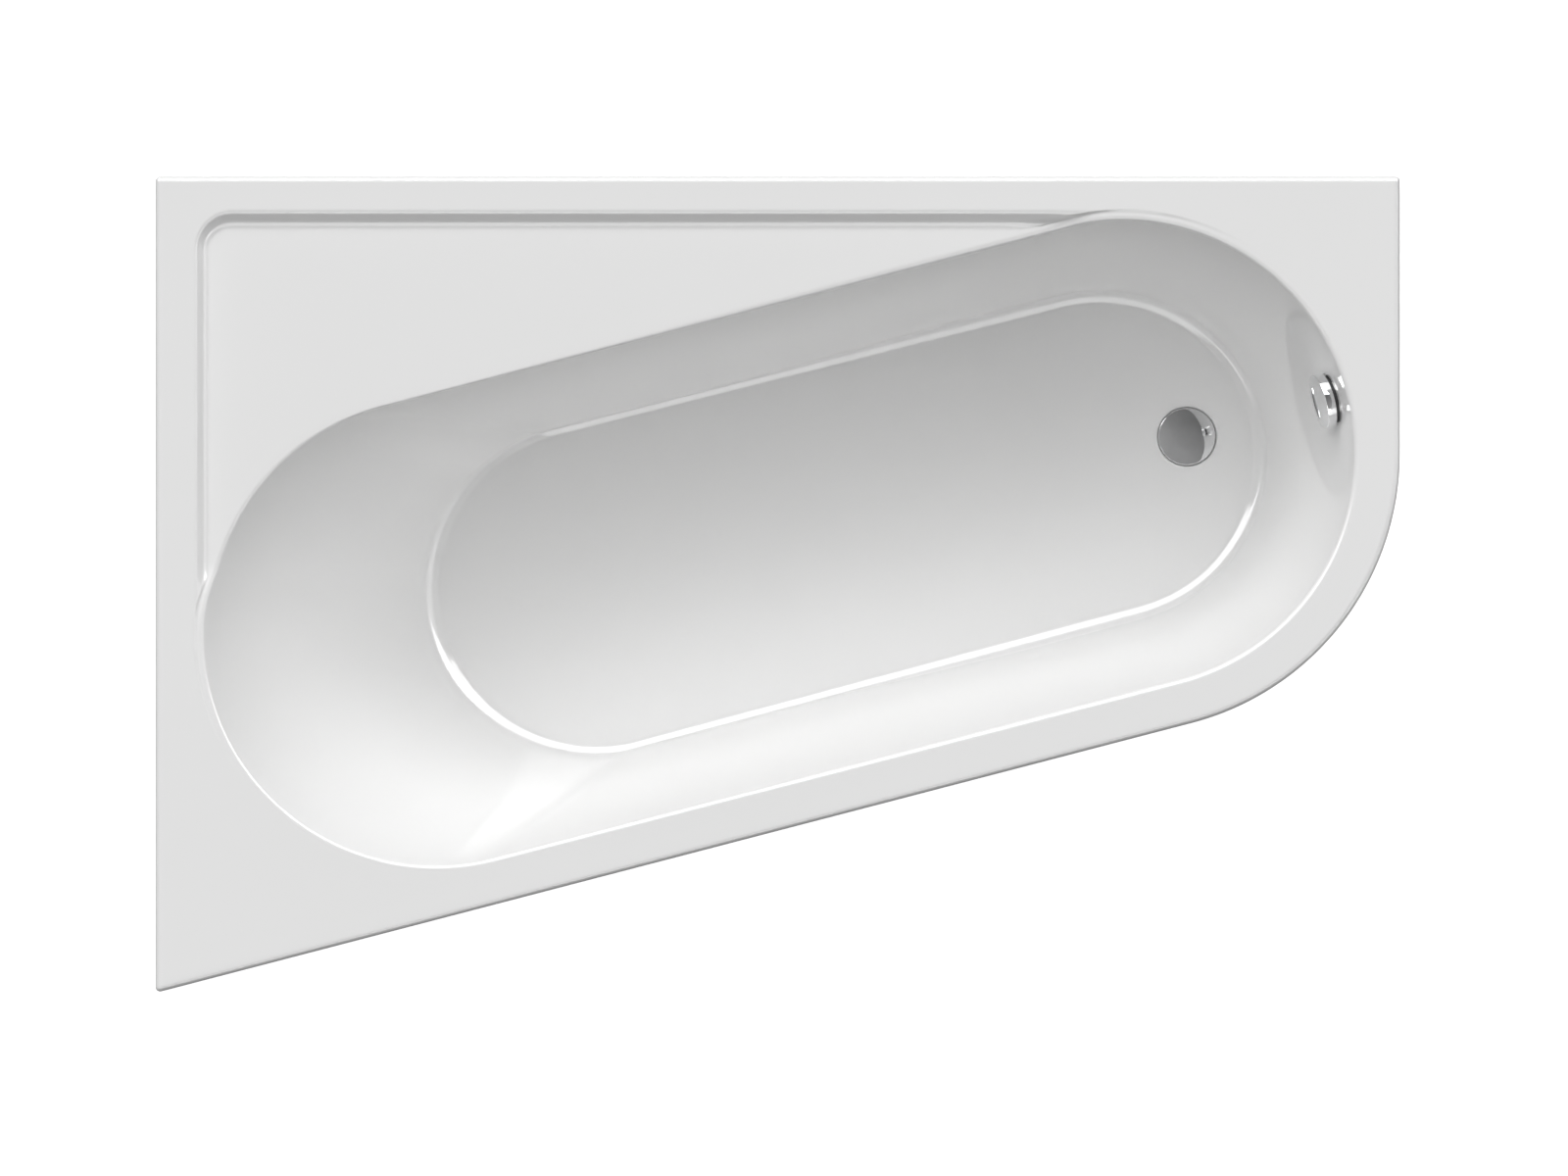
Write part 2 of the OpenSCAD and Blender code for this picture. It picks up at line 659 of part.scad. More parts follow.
wall_in = tongue_in + wall_clip_t + wall_clip_gap;
lip_z = rim_z - lip_drop;
clip_z = lip_z - wall_clip_gap;
panel_face = panel_in + panel_t;
rail_web_z = board_z - rail_t;
post_in = post_w - 2 * post_t;
spigot_x = trap_r + spigot_len;
nut_x = trap_r + 3 * plastic_t;
socket_x = nut_x + 0.4 * plastic_t;
socket_r = spigot_r + 1.3 * plastic_t;
bend_x = spigot_x + plastic_t;
strainer_top = strainer_z + strainer_t;
throat_in = throat_r - throat_t;
dish_r = 0.92 * strainer_r;
dish_h = 1.05 * strainer_t;
bar_w = 1.6 * throat_t;
bar_h = 1.2 * throat_t;
cap_ball_z = cap_z + cap_dome - cap_ball_r;
cable_box_z = spigot_top - 0.1 * cable_box_h;
over_flange_z = -over_back - over_flange_t;
over_end_z = over_flange_z - over_body_h;
back_z = over_end_z + plastic_t;

// Frames
module on_axis(x, y, z) {
  translate([arc_x, arc_y, z])
    rotate([0, 0, front_angle])
      translate([x, y, 0])
        children();
}

module on_wall(n) {
  on_axis(over_x, 0, over_z)
    rotate([0, foot_lean - 90, 0])
      translate([0, 0, n])
        children();
}

module at_drain(z) {
  on_axis(drain_x, 0, z)
    children();
}

module pipe(r, t, h) {
  difference() {
    cylinder(r = r, h = h, $fn = round_n);
    translate([0, 0, -h])
      cylinder(r = r - t, h = 3 * h, $fn = round_n);
  }
}

module nut(r, bore, h) {
  difference() {
    cylinder(r = r, h = h, $fn = 6);
    translate([0, 0, -h])
      cylinder(r = bore, h = 3 * h, $fn = small_n);
  }
}

module ribbed_nut(r, bore, h) {
  difference() {
    union() {
      cylinder(r = r - 0.06 * r, h = h, $fn = round_n);
      for (i = [0 : nut_rib_n - 1])
        rotate([0, 0, i * 360 / nut_rib_n])
          translate([r * 0.88, -r * 0.08, h * 0.08])
            cube([r * 0.12, r * 0.16, h * 0.84]);
    }
    translate([0, 0, -h])
      cylinder(r = bore, h = 3 * h, $fn = round_n);
  }
}

// Tub
module tub_shell() {
  color("white")
    difference() {
      union() {
        polyhedron(points = shell_points, faces = concat(floor_cap, shell_quads, bottom_cap), convexity = 8);
        on_wall(-outer_pad_t)
          cylinder(r = outer_pad_r, h = outer_pad_t - shell_t / 2, $fn = round_n);
      }
      on_wall(-2 * outer_pad_t)
        cylinder(r = overflow_hole_r, h = 3 * outer_pad_t, $fn = round_n);
      on_wall(0)
        cylinder(r = inner_seat_r, h = outer_pad_t, $fn = round_n);
      at_drain(bottom_z - floor_t)
        cylinder(r = drain_hole_r, h = 3 * floor_t, $fn = round_n);
      at_drain(seat_z)
        cylinder(r = drain_seat_r, h = floor_t, $fn = round_n);
    }
}

module slab(r, x0, x1, t) {
  linear_extrude(height = t)
    union() {
      translate([x0, 0])
        circle(r = r, $fn = round_n);
      translate([x1, 0])
        circle(r = r, $fn = round_n);
      translate([x0, -r])
        square([x1 - x0, 2 * r]);
    }
}

module base_board() {
  color("burlywood")
    difference() {
      on_axis(0, floor_shift, board_z)
        slab(board_r, floor_head_in - well_len, -floor_foot_in, board_t);
      at_drain(board_z - board_t)
        cylinder(r = board_hole_r, h = 3 * board_t, $fn = round_n);
      at_drain(board_z - board_t)
        translate([0, -slot_w / 2, 0])
          cube([board_r, slot_w, 3 * board_t]);
    }
}

module batten_back() {
  color("burlywood")
    translate([-half_w + 2.5 * batten_in, half_d - wall_in - batten_w, batten_z])
      cube([tub_w - 5.2 * batten_in, batten_w, batten_h]);
}

module batten_left() {
  color("burlywood")
    translate([-half_w + wall_in, -half_d + 3 * batten_in, batten_z])
      cube([batten_w, tub_d - 6 * batten_in, batten_h]);
}

module batten_front() {
  color("burlywood")
    on_axis(-well_len - front_arc_r, batten_in - front_arc_r, batten_z)
      cube([well_len + front_arc_r - 2 * batten_in, batten_w, batten_h]);
}

module batten_right() {
  color("burlywood")
    translate([half_w - batten_in - batten_w, arc_y + batten_in, batten_z])
      cube([batten_w, right_post[1] - arc_y - 3 * batten_in, batten_h]);
}

// Frame under the base board
module cross_rail(x) {
  color("silver")
    difference() {
      on_axis(-x - rail_w / 2, -rail_half, rail_z)
        cube([rail_w, 2 * rail_half, rail_h]);
      on_axis(-x - rail_w / 2 + rail_t, -2 * rail_half, rail_z - rail_t)
        cube([rail_w - 2 * rail_t, 4 * rail_half, rail_h]);
      for (y = [-foot_y, foot_y])
        on_axis(-x, y, rail_z)
          cylinder(r = rod_r + free_gap, h = 2 * rail_h, $fn = small_n);
    }
}

module rail_head() {
  cross_rail(head_rail_x);
}

module rail_drain() {
  cross_rail(foot_rail_x);
}

module rod(top) {
  color("silver")
    union() {
      translate([0, 0, rod_bottom])
        cylinder(r = rod_r, h = top - rod_bottom - rod_r / 5, $fn = small_n);
      translate([0, 0, top - rod_r / 5])
        cylinder(r1 = rod_r, r2 = 0.8 * rod_r, h = rod_r / 5, $fn = small_n);
    }
}

module pad() {
  color("dimgray")
    rotate_extrude($fn = small_n)
      polygon([
        [0, 0],
        [pad_r, 0],
        [pad_r, pad_h],
        [pad_top_r, pad_top],
        [rod_r + run_fit, pad_top],
        [rod_r + run_fit, rod_bottom],
        [0, rod_bottom]
      ]);
}

module at_foot(x, y) {
  on_axis(-x, y, 0)
    children();
}

module at_post(p) {
  translate([p[0], p[1], 0])
    children();
}

module rod_head_back() {
  at_foot(head_rail_x, foot_y)
    rod(rail_rod_top);
}

module rod_head_front() {
  at_foot(head_rail_x, -foot_y)
    rod(rail_rod_top);
}

module rod_drain_back() {
  at_foot(foot_rail_x, foot_y)
    rod(rail_rod_top);
}

module rod_drain_front() {
  at_foot(foot_rail_x, -foot_y)
    rod(rail_rod_top);
}

module rod_shelf_post() {
  at_post(shelf_post)
    rod(post_rod_top);
}

module rod_right_post() {
  at_post(right_post)
    rod(post_rod_top);
}

module rod_front_post() {
  at_post(front_post)
    rod(post_rod_top);
}

module pad_head_back() {
  at_foot(head_rail_x, foot_y)
    pad();
}

module pad_head_front() {
  at_foot(head_rail_x, -foot_y)
    pad();
}

module pad_drain_back() {
  at_foot(foot_rail_x, foot_y)
    pad();
}

module pad_drain_front() {
  at_foot(foot_rail_x, -foot_y)
    pad();
}

module pad_shelf_post() {
  at_post(shelf_post)
    pad();
}

module pad_right_post() {
  at_post(right_post)
    pad();
}

module pad_front_post() {
  at_post(front_post)
    pad();
}

module lock_nut(z) {
  translate([0, 0, z])
    nut(nut_r, rod_r + run_fit, nut_h);
}

module lock_nuts() {
  color("silver")
    union() {
      for (x = [head_rail_x, foot_rail_x])
        for (y = [-foot_y, foot_y])
          for (z = [board_z, rail_web_z - nut_h])
            at_foot(x, y)
              lock_nut(z);
      for (p = [shelf_post, right_post, front_post])
        at_post(p)
          lock_nut(post_bottom - nut_h);
    }
}

// Corner posts under the rim
module post(p, top) {
  color("silver")
    at_post(p)
      difference() {
        union() {
          translate([-post_w / 2, -post_w / 2, post_bottom])
            cube([post_w, post_w, top - post_bottom]);
          translate([-post_plate_w / 2, -post_plate_w / 2, top - post_plate_t])
            cube([post_plate_w, post_plate_w, post_plate_t]);
        }
        translate([-post_in / 2, -post_in / 2, post_bottom - post_t])
          cube([post_in, post_in, top - post_plate_t - post_bottom + post_t]);
      }
}

module post_shelf() {
  post(shelf_post, shelf_under_z);
}

module post_right() {
  post(right_post, flat_z);
}

module post_front() {
  post(front_post, flat_z);
}

module post_inserts() {
  color("dimgray")
    for (p = [shelf_post, right_post, front_post])
      at_post(p)
        difference() {
          translate([-post_in / 2, -post_in / 2, post_bottom])
            cube([post_in, post_in, insert_h]);
          cylinder(r = rod_r + run_fit, h = 2 * post_bottom, $fn = small_n);
        }
}

// Front panel and its brackets
module outline(off) {
  union() {
    translate(foot_c)
      circle(r = front_arc_r - off, $fn = arc_n);
    polygon([
      [-tub_w, (front_n[0] * tub_w + front_dist - off) / front_n[1]],
      foot_c + (front_arc_r - off) * front_n,
      foot_c + [front_arc_r - off, 0],
      [half_w - off, tub_d],
      [-tub_w, tub_d]
    ]);
  }
}

module apron_panel() {
  color("white")
    translate([0, 0, clip_t])
      linear_extrude(height = flat_z - panel_top_gap - clip_t)
        intersection() {
          difference() {
            outline(panel_in);
            outline(panel_face);
          }
          translate([panel_in - half_w, -half_d])
            square([tub_w, tub_d - panel_in]);
        }
}

module floor_bracket() {
  difference() {
    union() {
      translate([-clip_w / 2, panel_in, 0])
        cube([clip_w, panel_t + clip_foot, clip_t]);
      translate([-clip_w / 2, panel_face, 0])
        cube([clip_w, clip_t, clip_h]);
    }
    translate([0, panel_face + 0.7 * clip_foot, -clip_t])
      cylinder(r = clip_hole_r, h = 3 * clip_t, $fn = small_n);
    translate([0, panel_in, 0.6 * clip_h])
      rotate([-90, 0, 0])
        cylinder(r = clip_hole_r, h = clip_foot, $fn = small_n);
  }
}

module rim_bracket() {
  union() {
    translate([-clip_w / 2, panel_face, batten_z - clip_t])
      cube([clip_w, batten_in + batten_w - panel_face, clip_t]);
    translate([-clip_w / 2, panel_face, batten_z - clip_t])
      cube([clip_w, clip_t, 0.8 * batten_h]);
  }
}

module beside_panel() {
  for (i = [0 : clip_count - 1])
    on_axis(-i * clip_step - 1.5 * clip_w, -front_arc_r, 0)
      children();
  translate([half_w, arc_y + 2.5 * clip_foot, 0])
    rotate([0, 0, 90])
      children();
}

module panel_brackets() {
  color("silver")
    beside_panel()
      floor_bracket();
}

module panel_clips() {
  color("silver")
    beside_panel()
      rim_bracket();
}

// Clips that hold the rim to the walls
module wall_clip() {
  difference() {
    union() {
      translate([-wall_clip_w / 2, -wall_clip_t, clip_z - wall_clip_h])
        cube([wall_clip_w, wall_clip_t, wall_clip_h]);
      translate([-wall_clip_w / 2, wall_clip_gap - wall_in, clip_z - wall_clip_t])
        cube([wall_clip_w, wall_in - wall_clip_gap, wall_clip_t]);
      translate([-wall_clip_w / 2, wall_clip_gap - wall_in, clip_z - wall_clip_t])
        cube([wall_clip_w, wall_clip_t, flat_z - clip_z + wall_clip_t]);
    }
    for (x = [-wall_hole_gap / 2, wall_hole_gap / 2])
      translate([x, wall_clip_t, clip_z - 0.6 * wall_clip_h])
        rotate([90, 0, 0])
          cylinder(r = wall_hole_r, h = 3 * wall_clip_t, $fn = small_n);
  }
}

module wall_clips() {
  color("silver")
    union() {
      for (x = [-wall_clip_x, wall_clip_x])
        translate([x, half_d, 0])
          wall_clip();
      translate([-half_w, wall_clip_y, 0])
        rotate([0, 0, 90])
          wall_clip();
    }
}

// Waste under the tub
module strainer() {
  color("silver")
    at_drain(0)
      difference() {
        union() {
          rotate_extrude($fn = round_n)
            polygon([
              [throat_in, throat_z],
              [throat_r, throat_z],
              [throat_r, strainer_z],
              [strainer_r, strainer_z],
              [strainer_r, strainer_z + strainer_t / 2],
              [strainer_r - strainer_t / 2, strainer_top],
              [dish_r, strainer_top],
              [throat_in, strainer_top - dish_h]
            ]);
          for (g = [0, 90])
            rotate([0, 0, g])
              translate([-throat_in - throat_t / 2, -bar_w / 2, throat_z])
                cube([2 * throat_in + throat_t, bar_w, bar_h]);
          translate([0, 0, throat_z])
            cylinder(r = stem_r + bar_w, h = 2 * bar_h, $fn = small_n);
        }
        translate([0, 0, throat_z - bar_h])
          cylinder(r = stem_r + run_fit, h = 4 * bar_h, $fn = small_n);
      }
}

module strainer_washer() {
  color("dimgray")
    at_drain(seat_z)
      pipe(strainer_r - strainer_t / 5, strainer_r - strainer_t / 5 - drain_hole_r, washer_t);
}

module under_washer() {
  color("dimgray")
    at_drain(waste_top)
      pipe(waste_flange_r, waste_flange_r - drain_hole_r, under_washer_t);
}

module waste_body() {
  color("whitesmoke")
    difference() {
      union() {
        at_drain(waste_top - waste_flange_t)
          cylinder(r = waste_flange_r, h = waste_flange_t, $fn = round_n);
        at_drain(waste_bottom)
          cylinder(r = waste_r, h = waste_h, $fn = round_n);
        at_drain(neck_bottom)
          cylinder(r = neck_r, h = neck_h, $fn = round_n);
        at_drain(hose_z)
          rotate([0, 90, 0])
            cylinder(r = hose_r, h = hose_port, $fn = round_n);
        at_drain(hose_z - gear_h / 2)
          translate([-gear_len / 3, gear_y, 0])
            cube([gear_len, gear_w, gear_h]);
      }
      at_drain(waste_bottom + plastic_t)
        cylinder(r = waste_r - plastic_t, h = waste_h - plastic_t, $fn = round_n);
      at_drain(waste_bottom)
        cylinder(r = throat_r + run_fit, h = 2 * waste_h, $fn = round_n);
      at_drain(neck_bottom - plastic_t)
        cylinder(r = neck_r - plastic_t, h = neck_h + 3 * plastic_t, $fn = round_n);
      at_drain(hose_z)
        rotate([0, 90, 0])
          cylinder(r = hose_r - plastic_t, h = 2 * hose_port, $fn = round_n);
      at_drain(hose_z)
        translate([0, cable_y, 0])
          rotate([0, 90, 0])
            cylinder(r = cable_r + run_fit, h = gear_len, $fn = small_n);
      at_drain(hose_z - gear_h / 4)
        translate([-gear_len / 6, 0, 0])
          cube([gear_len / 3, cable_y + cable_r, gear_h / 2]);
      rocker_axis()
        cylinder(r = pin_r, h = 2 * (waste_r - 2 * plastic_t), center = true, $fn = small_n);
    }
}

module rocker_axis() {
  at_drain(rocker_z)
    translate([rocker_x, 0, 0])
      rotate([90, 0, 0])
        children();
}

module rocker_pin() {
  color("silver")
    rocker_axis()
      cylinder(r = pin_r, h = 2 * (waste_r - 2 * plastic_t), center = true, $fn = small_n);
}

module rocker() {
  color("goldenrod")
    difference() {
      union() {
        at_drain(rocker_z - rocker_t / 2)
          translate([-rocker_t / 4, -rocker_w / 2, 0])
            cube([rocker_x + rocker_t / 4, rocker_w, rocker_t]);
        at_drain(rocker_z - 3 * rocker_t)
          translate([rocker_x - rocker_t / 2, -rocker_w / 2, 0])
            cube([rocker_t, rocker_w, 3 * rocker_t]);
        rocker_axis()
          cylinder(r = rocker_r, h = rocker_w + rocker_t, center = true, $fn = small_n);
      }
      rocker_axis()
        cylinder(r = pin_r + run_fit, h = 3 * rocker_w, center = true, $fn = small_n);
    }
}

module trap_nut() {
  color("whitesmoke")
    at_drain(trap_nut_z)
      ribbed_nut(trap_nut_r, neck_r + run_fit, trap_nut_h);
}

module to_wall(x) {
  at_drain(outlet_z)
    rotate([0, 0, 90 - front_angle])
      translate([x, 0, 0])
        children();
}

module trap_body() {
  color("whitesmoke")
    difference() {
      union() {
        at_drain(trap_z)
          cylinder(r = trap_r, h = trap_h, $fn = round_n);
        to_wall(trap_r / 2)
          rotate([0, 90, 0])
            cylinder(r = spigot_r, h = trap_r / 2 + spigot_len, $fn = round_n);
        to_wall(nut_x - plastic_t)
          rotate([0, 90, 0])
            cylinder(r = socket_r + plastic_t, h = plastic_t, $fn = round_n);
      }
      at_drain(trap_z + plastic_t)
        cylinder(r = trap_r - plastic_t, h = trap_h - 2 * plastic_t, $fn = round_n);
      at_drain(trap_z + plastic_t)
        cylinder(r = neck_r + run_fit, h = 2 * trap_h, $fn = round_n);
      to_wall(trap_r / 3)
        rotate([0, 90, 0])
          cylinder(r = spigot_r - plastic_t, h = 2 * trap_r + spigot_len, $fn = round_n);
    }
}

module outlet_nut() {
  color("whitesmoke")
    to_wall(nut_x)
      rotate([0, 90, 0])
        ribbed_nut(outlet_nut_r, socket_r + run_fit, outlet_nut_len);
}

module elbow_arc(r) {
  to_wall(bend_x)
    translate([0, bend_r, 0])
      rotate([0, 0, -90])
        rotate_extrude(angle = bend_angle, $fn = round_n)
          translate([bend_r, 0])
            circle(r = r, $fn = round_n);
}

module elbow_end(r, back, h) {
  to_wall(bend_x)
    translate([0, bend_r, 0])
      rotate([0, 0, bend_angle - 90])
        translate([bend_r, -back, 0])
          rotate([-90, 0, 0])
            cylinder(r = r, h = h, $fn = round_n);
}

module outlet_elbow() {
  color("whitesmoke")
    difference() {
      union() {
        to_wall(socket_x)
          rotate([0, 90, 0])
            cylinder(r = socket_r, h = bend_x - socket_x, $fn = round_n);
        elbow_arc(spigot_r);
        elbow_end(spigot_r + bead_h, bead_w / 2, bead_w);
        elbow_end(spigot_r, 0, pipe_end);
      }
      elbow_arc(spigot_r - plastic_t);
      elbow_end(spigot_r - 0.8 * plastic_t, 0, 2 * pipe_end);
      to_wall(spigot_x - plastic_t)
        rotate([0, 90, 0])
          cylinder(r = spigot_r - 0.8 * plastic_t, h = bend_x - spigot_x + plastic_t, $fn = round_n);
      to_wall(socket_x - plastic_t)
        rotate([0, 90, 0])
          cylinder(r = spigot_r + run_fit, h = spigot_x - socket_x + plastic_t + free_gap, $fn = round_n);
    }
}

// Plug
module plug_cap() {
  color("lightgray")
    at_drain(0)
      difference() {
        union() {
          intersection() {
            difference() {
              translate([0, 0, cap_ball_z])
                sphere(r = cap_ball_r, $fn = round_n);
              translate([0, 0, cap_ball_z])
                sphere(r = cap_ball_r - cap_t, $fn = round_n);
            }
            translate([0, 0, cap_z])
              cylinder(r = cap_r, h = 2 * cap_dome, $fn = round_n);
          }
          translate([0, 0, seal_z + seal_t])
            cylinder(r = hub_r, h = cap_z + cap_dome - 0.7 * cap_t - seal_z - seal_t, $fn = small_n);
        }
        translate([0, 0, seal_z])
          cylinder(r = stem_r, h = seal_t + 2 * collar_t, $fn = small_n);
      }
}

module plug_seal() {
  color("dimgray")
    at_drain(seal_z)
      difference() {
        cylinder(r1 = seal_r - seal_taper, r2 = seal_r, h = seal_t, $fn = round_n);
        translate([0, 0, -seal_t])
          cylinder(r = stem_r, h = 3 * seal_t, $fn = small_n);
      }
}

module plug_stem() {
  color("goldenrod")
    union() {
      at_drain(stem_z)
        cylinder(r = stem_r, h = stem_len + collar_t + seal_t + 2 * collar_t, $fn = small_n);
      at_drain(collar_z)
        cylinder(r = collar_r, h = collar_t, $fn = small_n);
    }
}

// Overflow
module over_washer() {
  color("dimgray")
    on_wall(-over_back)
      pipe(over_washer_r, over_washer_r - overflow_hole_r, over_washer_t);
}

module overflow_body() {
  color("whitesmoke")
    difference() {
      union() {
        on_wall(over_flange_z)
          cylinder(r = over_washer_r, h = over_flange_t, $fn = round_n);
        on_wall(over_end_z)
          cylinder(r = over_body_r, h = over_body_h + over_flange_t, $fn = round_n);
        on_axis(hose_x, 0, hose_top)
          cylinder(r = hose_r, h = spigot_top - hose_top, $fn = round_n);
        on_axis(hose_x - cable_box_w / 2, cable_y - cable_box_w / 2, cable_box_z)
          cube([cable_box_w, cable_box_w, cable_box_h]);
      }
      difference() {
        on_wall(back_z)
          cylinder(r = over_body_r - plastic_t, h = 2 * over_body_h, $fn = round_n);
        for (y = [-screw_mid, screw_mid])
          on_wall(back_z - plastic_t)
            translate([0, y, 0])
              cylinder(r = 2 * grille_screw_r, h = over_body_h + over_flange_t, $fn = small_n);
        on_wall(back_z - plastic_t)
          cylinder(r = bearing_r, h = over_body_h / 2, $fn = small_n);
      }
      on_axis(hose_x, 0, hose_top - hose_r)
        cylinder(r = hose_r - plastic_t, h = spigot_top - hose_top + hose_r, $fn = round_n);
      on_wall(-spindle_len - free_gap)
        cylinder(r = spindle_r + run_fit, h = 2 * spindle_len, $fn = small_n);
      for (y = [-screw_mid, screw_mid])
        on_wall(-screw_len)
          translate([0, y, 0])
            cylinder(r = grille_screw_r, h = 2 * screw_len, $fn = small_n);
      on_axis(hose_x, cable_y, cable_box_z - cable_box_h / 2)
        cylinder(r = cable_r + run_fit, h = cable_box_h, $fn = small_n);
    }
}

module overflow_grille() {
  color("silver")
    on_wall(0)
      difference() {
        cylinder(r = grille_r, h = grille_t, $fn = round_n);
        for (i = [0 : grille_count - 1])
          rotate([0, 0, i * 360 / grille_count])
            translate([grille_hole_mid, 0, -grille_t])
              cylinder(r = grille_hole_r, h = 3 * grille_t, $fn = small_n);
        for (y = [-screw_mid, screw_mid])
          translate([0, y, -grille_t])
            cylinder(r = grille_screw_r, h = 3 * grille_t, $fn = small_n);
        translate([0, 0, -grille_t])
          cylinder(r = spindle_r + run_fit, h = 3 * grille_t, $fn = small_n);
      }
}

module grille_screws() {
  color("silver")
    for (y = [-screw_mid, screw_mid])
      union() {
        on_wall(-screw_len)
          translate([0, y, 0])
            cylinder(r = grille_screw_r, h = screw_len + grille_t + screw_head_h / 2, $fn = small_n);
        on_wall(grille_t)
          translate([0, y, 0])
            cylinder(r = screw_head_r, h = screw_head_h, $fn = small_n);
      }
}

module overflow_knob() {
  color("lightgray")
    difference() {
      union() {
        on_wall(knob_gap)
          rotate_extrude($fn = round_n)
            union() {
              square([knob_r - knob_round, knob_t]);
              translate([0, knob_round])
                square([knob_r, knob_t - 2 * knob_round]);
              for (z = [knob_round, knob_t - knob_round])
                translate([knob_r - knob_round, z])
                  circle(r = knob_round, $fn = small_n);
            }
        on_wall(grille_t + free_gap)
          cylinder(r = knob_neck_r, h = knob_gap - grille_t, $fn = small_n);
      }
      on_wall(knob_gap + knob_t - knob_dish_h)
        cylinder(r = knob_dish_r, h = knob_t, $fn = round_n);
      on_wall(0)
        cylinder(r = spindle_r, h = knob_gap + knob_t / 2, $fn = small_n);
    }
}

module knob_spindle() {
  color("goldenrod")
    on_wall(-spindle_len)
      cylinder(r = spindle_r, h = spindle_len + knob_gap + knob_t / 2, $fn = small_n);
}

// Hose and cable between the overflow and the waste
module bent_run(y, r, top, low) {
  union() {
    on_axis(hose_x, y, hose_z + hose_bend_r)
      cylinder(r = r, h = top - hose_z - hose_bend_r, $fn = small_n);
    on_axis(hose_x - hose_bend_r, y, hose_z + hose_bend_r)
      rotate([90, 0, 0])
        rotate([0, 0, -90])
          rotate_extrude(angle = 90, $fn = round_n)
            translate([hose_bend_r, 0])
              circle(r = r, $fn = small_n);
    on_axis(low, y, hose_z)
      rotate([0, 90, 0])
        cylinder(r = r, h = hose_x - hose_bend_r - low, $fn = small_n);
  }
}

module rib() {
  translate([0, 0, -hose_rib_w / 2])
    cylinder(r = hose_rib_r, h = hose_rib_w, $fn = small_n);
}

module overflow_hose() {
  low_n = floor((hose_x - hose_bend_r - hose_low_x - hose_nut_len) / hose_rib_step);
  color("gainsboro")
    difference() {
      union() {
        bent_run(0, hose_r, hose_top, hose_low_x);
        for (i = [0 : up_n - 1])
          on_axis(hose_x, 0, hose_z + hose_bend_r + (i + 1) * hose_rib_step)
            rib();
        for (i = [0 : low_n - 1])
          on_axis(hose_x - hose_bend_r - (i + 1) * hose_rib_step, 0, hose_z)
            rotate([0, 90, 0])
              rib();
        for (g = rib_turns)
          on_axis(hose_x - hose_bend_r, 0, hose_z + hose_bend_r)
            rotate([0, g, 0])
              translate([hose_bend_r, 0, 0])
                rib();
      }
      bent_run(0, hose_r - hose_t, hose_top + hose_t, hose_low_x - hose_t);
      for (g = [0, 90])
        on_axis(hose_x - hose_bend_r, 0, hose_z + hose_bend_r)
          rotate([0, g, 0])
            translate([hose_bend_r, 0, -hose_rib_w / 4])
              cylinder(r = hose_r - 0.6 * hose_t, h = hose_rib_w / 2, $fn = small_n);
    }
}

module hose_nuts() {
  color("whitesmoke")
    union() {
      on_axis(hose_x, 0, hose_top - 0.7 * hose_nut_len)
        ribbed_nut(hose_nut_r, hose_r + run_fit, hose_nut_len);
      on_axis(hose_low_x - 0.3 * hose_nut_len, 0, hose_z)
        rotate([0, 90, 0])
          ribbed_nut(hose_nut_r, hose_r + run_fit, hose_nut_len);
    }
}

module cable_joint() {
  translate([0, 0, -cable_r])
    cylinder(r = 1.3 * cable_r, h = 2 * cable_r, $fn = small_n);
}

module lift_cable() {
  color("dimgray")
    union() {
      bent_run(cable_y, cable_r, cable_box_z + cable_box_h / 4, drain_x + gear_len / 3);
      on_axis(hose_x, cable_y, hose_z + hose_bend_r)
        cable_joint();
      on_axis(hose_x - hose_bend_r, cable_y, hose_z)
        rotate([0, 90, 0])
          cable_joint();
    }
}

module cable_clip() {
  difference() {
    union() {
      cylinder(r = clip_ring_r, h = clip_ring_w, $fn = small_n);
      translate([-2 * cable_r, 0, 0])
        cube([4 * cable_r, cable_y + 2 * cable_r, clip_ring_w]);
    }
    translate([0, 0, -clip_ring_w])
      cylinder(r = hose_rib_r, h = 3 * clip_ring_w, $fn = small_n);
    translate([0, cable_y, -clip_ring_w])
      cylinder(r = cable_r + run_fit, h = 3 * clip_ring_w, $fn = small_n);
  }
}

module cable_clips() {
  color("dimgray")
    for (i = clip_ribs)
      on_axis(hose_x, 0, hose_z + hose_bend_r + (i + 1) * hose_rib_step - clip_ring_w / 2)
        cable_clip();
}

tub_shell();
base_board();
batten_back();
batten_left();
batten_front();
batten_right();
rail_head();
rail_drain();
lock_nuts();
post_shelf();
post_right();
post_front();
post_inserts();
rod_head_back();
pad_head_back();
rod_head_front();
pad_head_front();
rod_drain_back();
pad_drain_back();
rod_drain_front();
pad_drain_front();
rod_shelf_post();
pad_shelf_post();
rod_right_post();
pad_right_post();
rod_front_post();
pad_front_post();
apron_panel();
panel_brackets();
panel_clips();
wall_clips();
strainer();
strainer_washer();
under_washer();
waste_body();
rocker_pin();
rocker();
trap_nut();
trap_body();
outlet_nut();
outlet_elbow();
plug_cap();
plug_seal();
plug_stem();
over_washer();
overflow_body();
overflow_grille();
grille_screws();
overflow_knob();
knob_spindle();
overflow_hose();
hose_nuts();
lift_cable();
cable_clips();
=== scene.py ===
import json
import math

